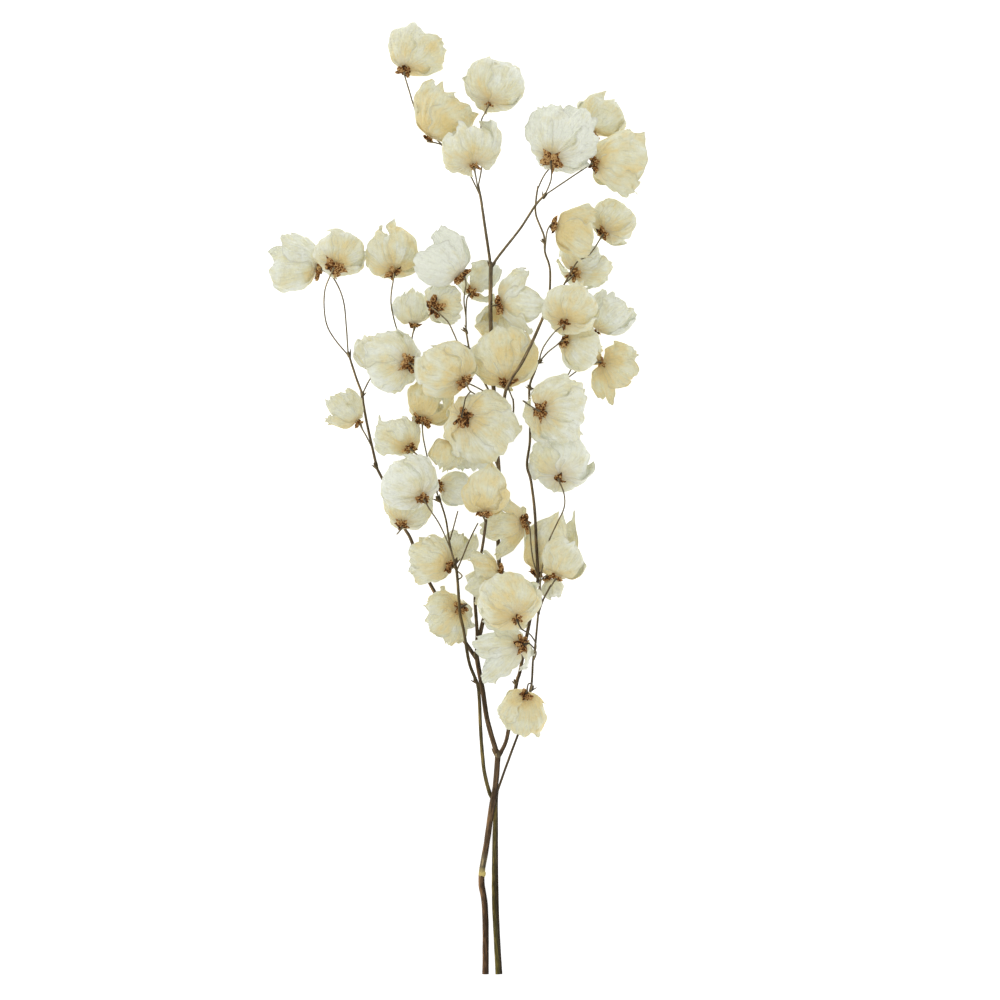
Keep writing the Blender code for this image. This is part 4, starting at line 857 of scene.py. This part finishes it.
class Graph:
    """The nodes of one material or group, with short ways to add and link them."""

    def __init__(self, tree):
        self.nodes = tree.nodes
        self.links = tree.links

    def feed(self, socket, value):
        """Links a socket to the input, or sets the input to a plain value."""
        if isinstance(value, bpy.types.NodeSocket):
            self.links.new(value, socket)
        elif value is not None:
            socket.default_value = value

    def add(self, kind, inputs, **values):
        """A node with its values set, and each of the named or numbered inputs fed."""
        made = self.nodes.new("ShaderNode" + kind)
        for name, value in values.items():
            setattr(made, name, value)
        for key, value in inputs.items():
            self.feed(made.inputs[key], value)
        return made

    def math(self, operation, first, second=None, clamp=False):
        return self.add("Math", {0: first, 1: second}, operation=operation, use_clamp=clamp).outputs[0]

    def plus(self, first, second, clamp=False):
        return self.math("ADD", first, second, clamp)

    def minus(self, first, second, clamp=False):
        return self.math("SUBTRACT", first, second, clamp)

    def times(self, first, second, clamp=False):
        return self.math("MULTIPLY", first, second, clamp)

    def contrast(self, value, middle, strength, clamp=True):
        """How far a value lies above a middle one, made stronger or weaker."""
        return self.times(self.minus(value, middle), strength, clamp)

    def mix(self, share, first, second, blend="MIX"):
        colours = {0: share, 6: first, 7: second}
        return self.add("Mix", colours, data_type="RGBA", blend_type=blend).outputs[2]

    def shaded(self, share, colour, shade):
        """The colour, multiplied by a shade as far as the share says."""
        return self.mix(share, colour, self.mix(1.0, colour, shade, "MULTIPLY"))

    def ramp(self, share, stops):
        made = self.add("ValToRGB", {0: share})
        ends = made.color_ramp.elements
        ends[0].position, ends[0].color = stops[0]
        ends[1].position, ends[1].color = stops[-1]
        for position, colour in stops[1:-1]:
            ends.new(position).color = colour
        return made.outputs[0]

    def noise(self, scale, detail, place):
        made = self.add("TexNoise", {"Scale": scale, "Detail": detail, "Vector": place})
        return made.outputs["Fac"]

    def read(self, uv_name, attribute):
        """A piece's own UV map, one of its attributes, and the place on the piece."""
        return (self.add("UVMap", {}, uv_map=uv_name).outputs[0],
                self.add("Attribute", {}, attribute_name=attribute).outputs["Fac"],
                self.add("TexCoord", {}).outputs["Object"])

    def streaks(self, across, along, place):
        """The broad and the fine lengthwise streaks."""
        made = self.nodes.new("ShaderNodeGroup")
        made.node_tree = bpy.data.node_groups.get(STREAKS) or streak_group()
        for name, value in (("Coordinates", place), ("Across", across), ("Along", along)):
            self.feed(made.inputs[name], value)
        return made.outputs["Broad"], made.outputs["Fine"]

    def bump(self, shader, strength, distance, height):
        made = self.add("Bump", {"Strength": strength, "Distance": distance, "Height": height})
        self.links.new(made.outputs[0], shader.inputs["Normal"])


def streak_group():
    """Streaks that run lengthwise: a value that changes fast across and slowly along, and a finer one."""
    group = bpy.data.node_groups.new(STREAKS, "ShaderNodeTree")
    for name, kind in (("Coordinates", "Vector"), ("Across", "Float"), ("Along", "Float")):
        group.interface.new_socket(name=name, in_out="INPUT", socket_type="NodeSocket" + kind)
    for name in ("Broad", "Fine"):
        group.interface.new_socket(name=name, in_out="OUTPUT", socket_type="NodeSocketFloat")
    graph = Graph(group)
    given = group.nodes.new("NodeGroupInput").outputs
    result = group.nodes.new("NodeGroupOutput")
    for name, share, detail in (("Broad", 1.0, 2.0), ("Fine", 3.1, 4.0)):
        scale = graph.add("CombineXYZ", {0: graph.times(given["Across"], share),
                                         1: graph.times(given["Along"], share), 2: given["Along"]})
        stretched = graph.add("VectorMath", {0: given["Coordinates"], 1: scale.outputs[0]},
                              operation="MULTIPLY")
        pattern = graph.add("TexNoise", {"Vector": stretched.outputs[0], "Scale": 1.0, "Detail": detail,
                                         "Roughness": 0.55})
        graph.feed(result.inputs[name], pattern.outputs["Fac"])
    return group


def material_of(name, roughness):
    made = bpy.data.materials.new(name)
    made.use_nodes = True
    shader = made.node_tree.nodes["Principled BSDF"]
    shader.inputs["Roughness"].default_value = roughness
    return made, shader, Graph(made.node_tree)


def paper_material(settings):
    """Dry bract: veined and blotched from white to straw, amber near the calyx, with a thin grey margin."""
    made, shader, graph = material_of("dry_bract", 0.62)
    uv, warmth, place = graph.read("bract", "warmth")
    across, along = graph.add("SeparateXYZ", {0: uv}).outputs[:2]
    shifted = graph.add("VectorMath", {0: place, 1: HEAD_SHIFT, 2: uv}, operation="MULTIPLY_ADD").outputs[0]
    broad, fine = graph.streaks(across=16.0, along=1.6, place=shifted)
    blotch = graph.noise(scale=95.0, detail=3.0, place=place)
    crumple = graph.noise(scale=260.0, detail=4.0, place=place)

    root = graph.minus(1.0, graph.times(along, 2.6), clamp=True)
    tone = graph.plus(warmth, graph.contrast(blotch, middle=0.56, strength=1.7, clamp=False))
    tone = graph.plus(tone, graph.times(root, 0.30))
    tone = graph.plus(tone, graph.times(graph.minus(0.45, along), 0.35))
    tone = graph.plus(tone, graph.contrast(broad, middle=0.5, strength=0.80, clamp=False), clamp=True)
    colour = graph.ramp(tone, ((0.0, settings.white), (0.5, settings.cream), (1.0, settings.straw)))
    stain = graph.times(graph.math("POWER", root, 3.0), 0.40)
    colour = graph.mix(stain, colour, settings.amber)
    colour = graph.mix(graph.contrast(fine, middle=0.52, strength=1.5), colour, settings.margin)

    # The bract turns grey in a thin line along its side and tip edges
    beside = graph.minus(0.5, graph.math("ABSOLUTE", graph.minus(across, 0.5)))
    near = graph.math("MINIMUM", beside, graph.minus(1.0, along))
    rim = graph.times(graph.minus(1.0, graph.times(near, 30.0), clamp=True), 0.5)
    colour = graph.mix(rim, colour, settings.margin)
    graph.feed(shader.inputs["Base Color"], colour)
    # Painted glow: the bract also shines with its own colour, standing in for light coming through the paper
    graph.feed(shader.inputs["Emission Color"], colour)
    shader.inputs["Emission Strength"].default_value = GLOW

    height = graph.plus(graph.times(broad, 0.8), graph.times(fine, 0.5))
    height = graph.plus(height, graph.times(crumple, 2.0))
    graph.bump(shader, strength=1.0, distance=1.6 * MM, height=height)
    shader.inputs["Subsurface Weight"].default_value = 0.80
    shader.inputs["Subsurface Radius"].default_value = (1.0, 1.0, 1.0)
    shader.inputs["Subsurface Scale"].default_value = 0.4 * MM
    return made


def bark_material(name, stem, settings):
    """Dry bark: lengthwise streaks from the low colour to the high one, and the paler grey of the stalks."""
    made, shader, graph = material_of(name + "_bark", 0.80)
    shader.inputs["Specular IOR Level"].default_value = 0.15
    uv, tint, place = graph.read("bark", "tint")
    broad, fine = graph.streaks(across=4.0, along=0.7, place=uv)
    patches = graph.noise(scale=28.0, detail=1.0, place=place)

    colour = graph.mix(graph.times(tint, BARK_TINT, clamp=True), stem.low, stem.high)
    colour = graph.shaded(graph.contrast(patches, middle=0.47, strength=4.0), colour, PATCH_SHADE)
    colour = graph.mix(graph.minus(tint, BARK_TINT, clamp=True), colour, settings.pedicel)
    colour = graph.shaded(graph.contrast(broad, middle=0.49, strength=7.0), colour, PALE_SHADE)
    colour = graph.shaded(graph.contrast(fine, middle=0.5, strength=6.0), colour, DARK_SHADE)

    # Painted shade and highlight: each tube is darkened down one side and lightened down the other, as if
    # lit from that side
    round_way = graph.add("SeparateXYZ", {0: uv}).outputs[0]
    painted_light_side = graph.math("SINE", graph.times(round_way, 2 * math.pi))
    colour = graph.shaded(graph.times(painted_light_side, 0.9, clamp=True), colour, PAINTED_SHADE_SIDE)
    colour = graph.shaded(graph.times(painted_light_side, -0.7, clamp=True), colour, PAINTED_HIGHLIGHT_SIDE)
    colour = graph.mix(graph.minus(tint, STALK_TINT, clamp=True), colour, settings.collar)
    graph.feed(shader.inputs["Base Color"], colour)
    graph.bump(shader, strength=0.6, distance=0.4 * MM, height=fine)
    return made


def calyx_material(settings):
    """Dry sepals: dark brown to rust, with tan tips and fine lines."""
    made, shader, graph = material_of("dry_calyx", 0.70)
    shader.inputs["Specular IOR Level"].default_value = 0.12
    uv, tint, place = graph.read("bark", "tint")
    _, lines = graph.streaks(across=5.0, along=3.0, place=uv)
    crumbs = graph.noise(scale=900.0, detail=3.0, place=place)
    crumbs = graph.contrast(crumbs, middle=0.5, strength=5.5, clamp=False)
    share = graph.math("DIVIDE", graph.plus(tint, crumbs), 1.4, clamp=True)
    colour = graph.ramp(share, ((0.0, settings.sepal_dark), (0.45, settings.sepal_rust),
                                (1.0, settings.sepal_tan)))
    graph.feed(shader.inputs["Base Color"], colour)
    graph.bump(shader, strength=0.6, distance=0.4 * MM, height=lines)
    return made


class BUNCH_OT_heads(bpy.types.Operator):
    """Make the fifty papery heads"""
    bl_idname = "bunch.heads"
    bl_label = "Make Heads"

    def execute(self, context):
        settings = context.scene.bunch_settings
        look = paper_material(settings)
        for head in HEADS.values():
            make_head(head, settings, look)
        return {"FINISHED"}


class BUNCH_OT_stems(bpy.types.Operator):
    """Make the bark of the three cut stems, with their stalks and buds"""
    bl_idname = "bunch.stems"
    bl_label = "Make Stems"

    def execute(self, context):
        for name, stem in STEMS.items():
            make_stem(name, stem, context.scene.bunch_settings)
        return {"FINISHED"}


class BUNCH_OT_calyces(bpy.types.Operator):
    """Make the brown stars under the heads"""
    bl_idname = "bunch.calyces"
    bl_label = "Make Calyces"

    def execute(self, context):
        look = calyx_material(context.scene.bunch_settings)
        for name, stem in STEMS.items():
            make_calyces(name, stem, look)
        return {"FINISHED"}


def soft_light(name, place, size, power, colour):
    light = bpy.data.lights.new(name, "AREA")
    light.shape = "DISK"
    light.size = size
    light.energy = power
    light.color = colour
    made = bpy.data.objects.new(name, light)
    made.location = place
    made.rotation_euler = (-Vector(place)).to_track_quat("-Z", "Y").to_euler()
    made.visible_camera = False
    bpy.context.scene.collection.objects.link(made)


class BUNCH_OT_stage(bpy.types.Operator):
    """Make the pale floor, the soft studio light and the camera above the bunch"""
    bl_idname = "bunch.stage"
    bl_label = "Make Stage"

    def execute(self, context):
        scene = context.scene
        bm = bmesh.new()
        bmesh.ops.create_grid(bm, x_segments=1, y_segments=1, size=6.0)
        look, shader, _ = material_of("pale_floor", 0.9)
        shader.inputs["Base Color"].default_value = scene.bunch_settings.floor
        shader.inputs["Specular IOR Level"].default_value = 0.1
        shader.inputs["Emission Color"].default_value = WHITE
        shader.inputs["Emission Strength"].default_value = FLOOR_GLOW
        finished(bm, "floor", look)

        world = bpy.data.worlds.new("studio")
        world.use_nodes = True
        sky = world.node_tree.nodes["Background"]
        sky.inputs["Color"].default_value = WHITE
        sky.inputs["Strength"].default_value = SKY_GLOW
        scene.world = world
        for name, (place, size, power, colour) in LIGHTS.items():
            soft_light(name, place, size, power, colour)
        scene.view_settings.view_transform = "Standard"

        lens = bpy.data.cameras.new("camera")
        lens.lens = CAMERA_LENS
        lens.sensor_width = CAMERA_SENSOR
        camera = bpy.data.objects.new("camera", lens)
        distance = VIEW_PIXELS * PIXEL * CAMERA_LENS / CAMERA_SENSOR
        camera.location = spot(*VIEW_CENTRE, 0) + Vector((0, 0, VIEW_HEIGHT + distance))
        lens.clip_end = 4 * distance
        scene.collection.objects.link(camera)
        scene.camera = camera
        return {"FINISHED"}


class BUNCH_PT_panel(bpy.types.Panel):
    """The bunch's settings and steps, in the order in which they are made"""
    bl_label = "Dried Bougainvillea"
    bl_idname = "BUNCH_PT_panel"
    bl_space_type = "VIEW_3D"
    bl_region_type = "UI"
    bl_category = "Bunch"

    def draw(self, context):
        settings = context.scene.bunch_settings
        for name in BunchSettings.__annotations__:
            self.layout.prop(settings, name)
        for step in STEPS:
            self.layout.operator(step.bl_idname)


STEPS = (BUNCH_OT_heads, BUNCH_OT_stems, BUNCH_OT_calyces, BUNCH_OT_stage)
CLASSES = (BunchSettings, *STEPS, BUNCH_PT_panel)


def register():
    for one in CLASSES:
        bpy.utils.register_class(one)
    bpy.types.Scene.bunch_settings = PointerProperty(type=BunchSettings)


def unregister():
    del bpy.types.Scene.bunch_settings
    for one in reversed(CLASSES):
        bpy.utils.unregister_class(one)


def main():
    """Makes the whole bunch and its stage."""
    register()
    bpy.ops.bunch.heads()
    bpy.ops.bunch.stems()
    bpy.ops.bunch.calyces()
    bpy.ops.bunch.stage()


if __name__ == "__main__":
    main()
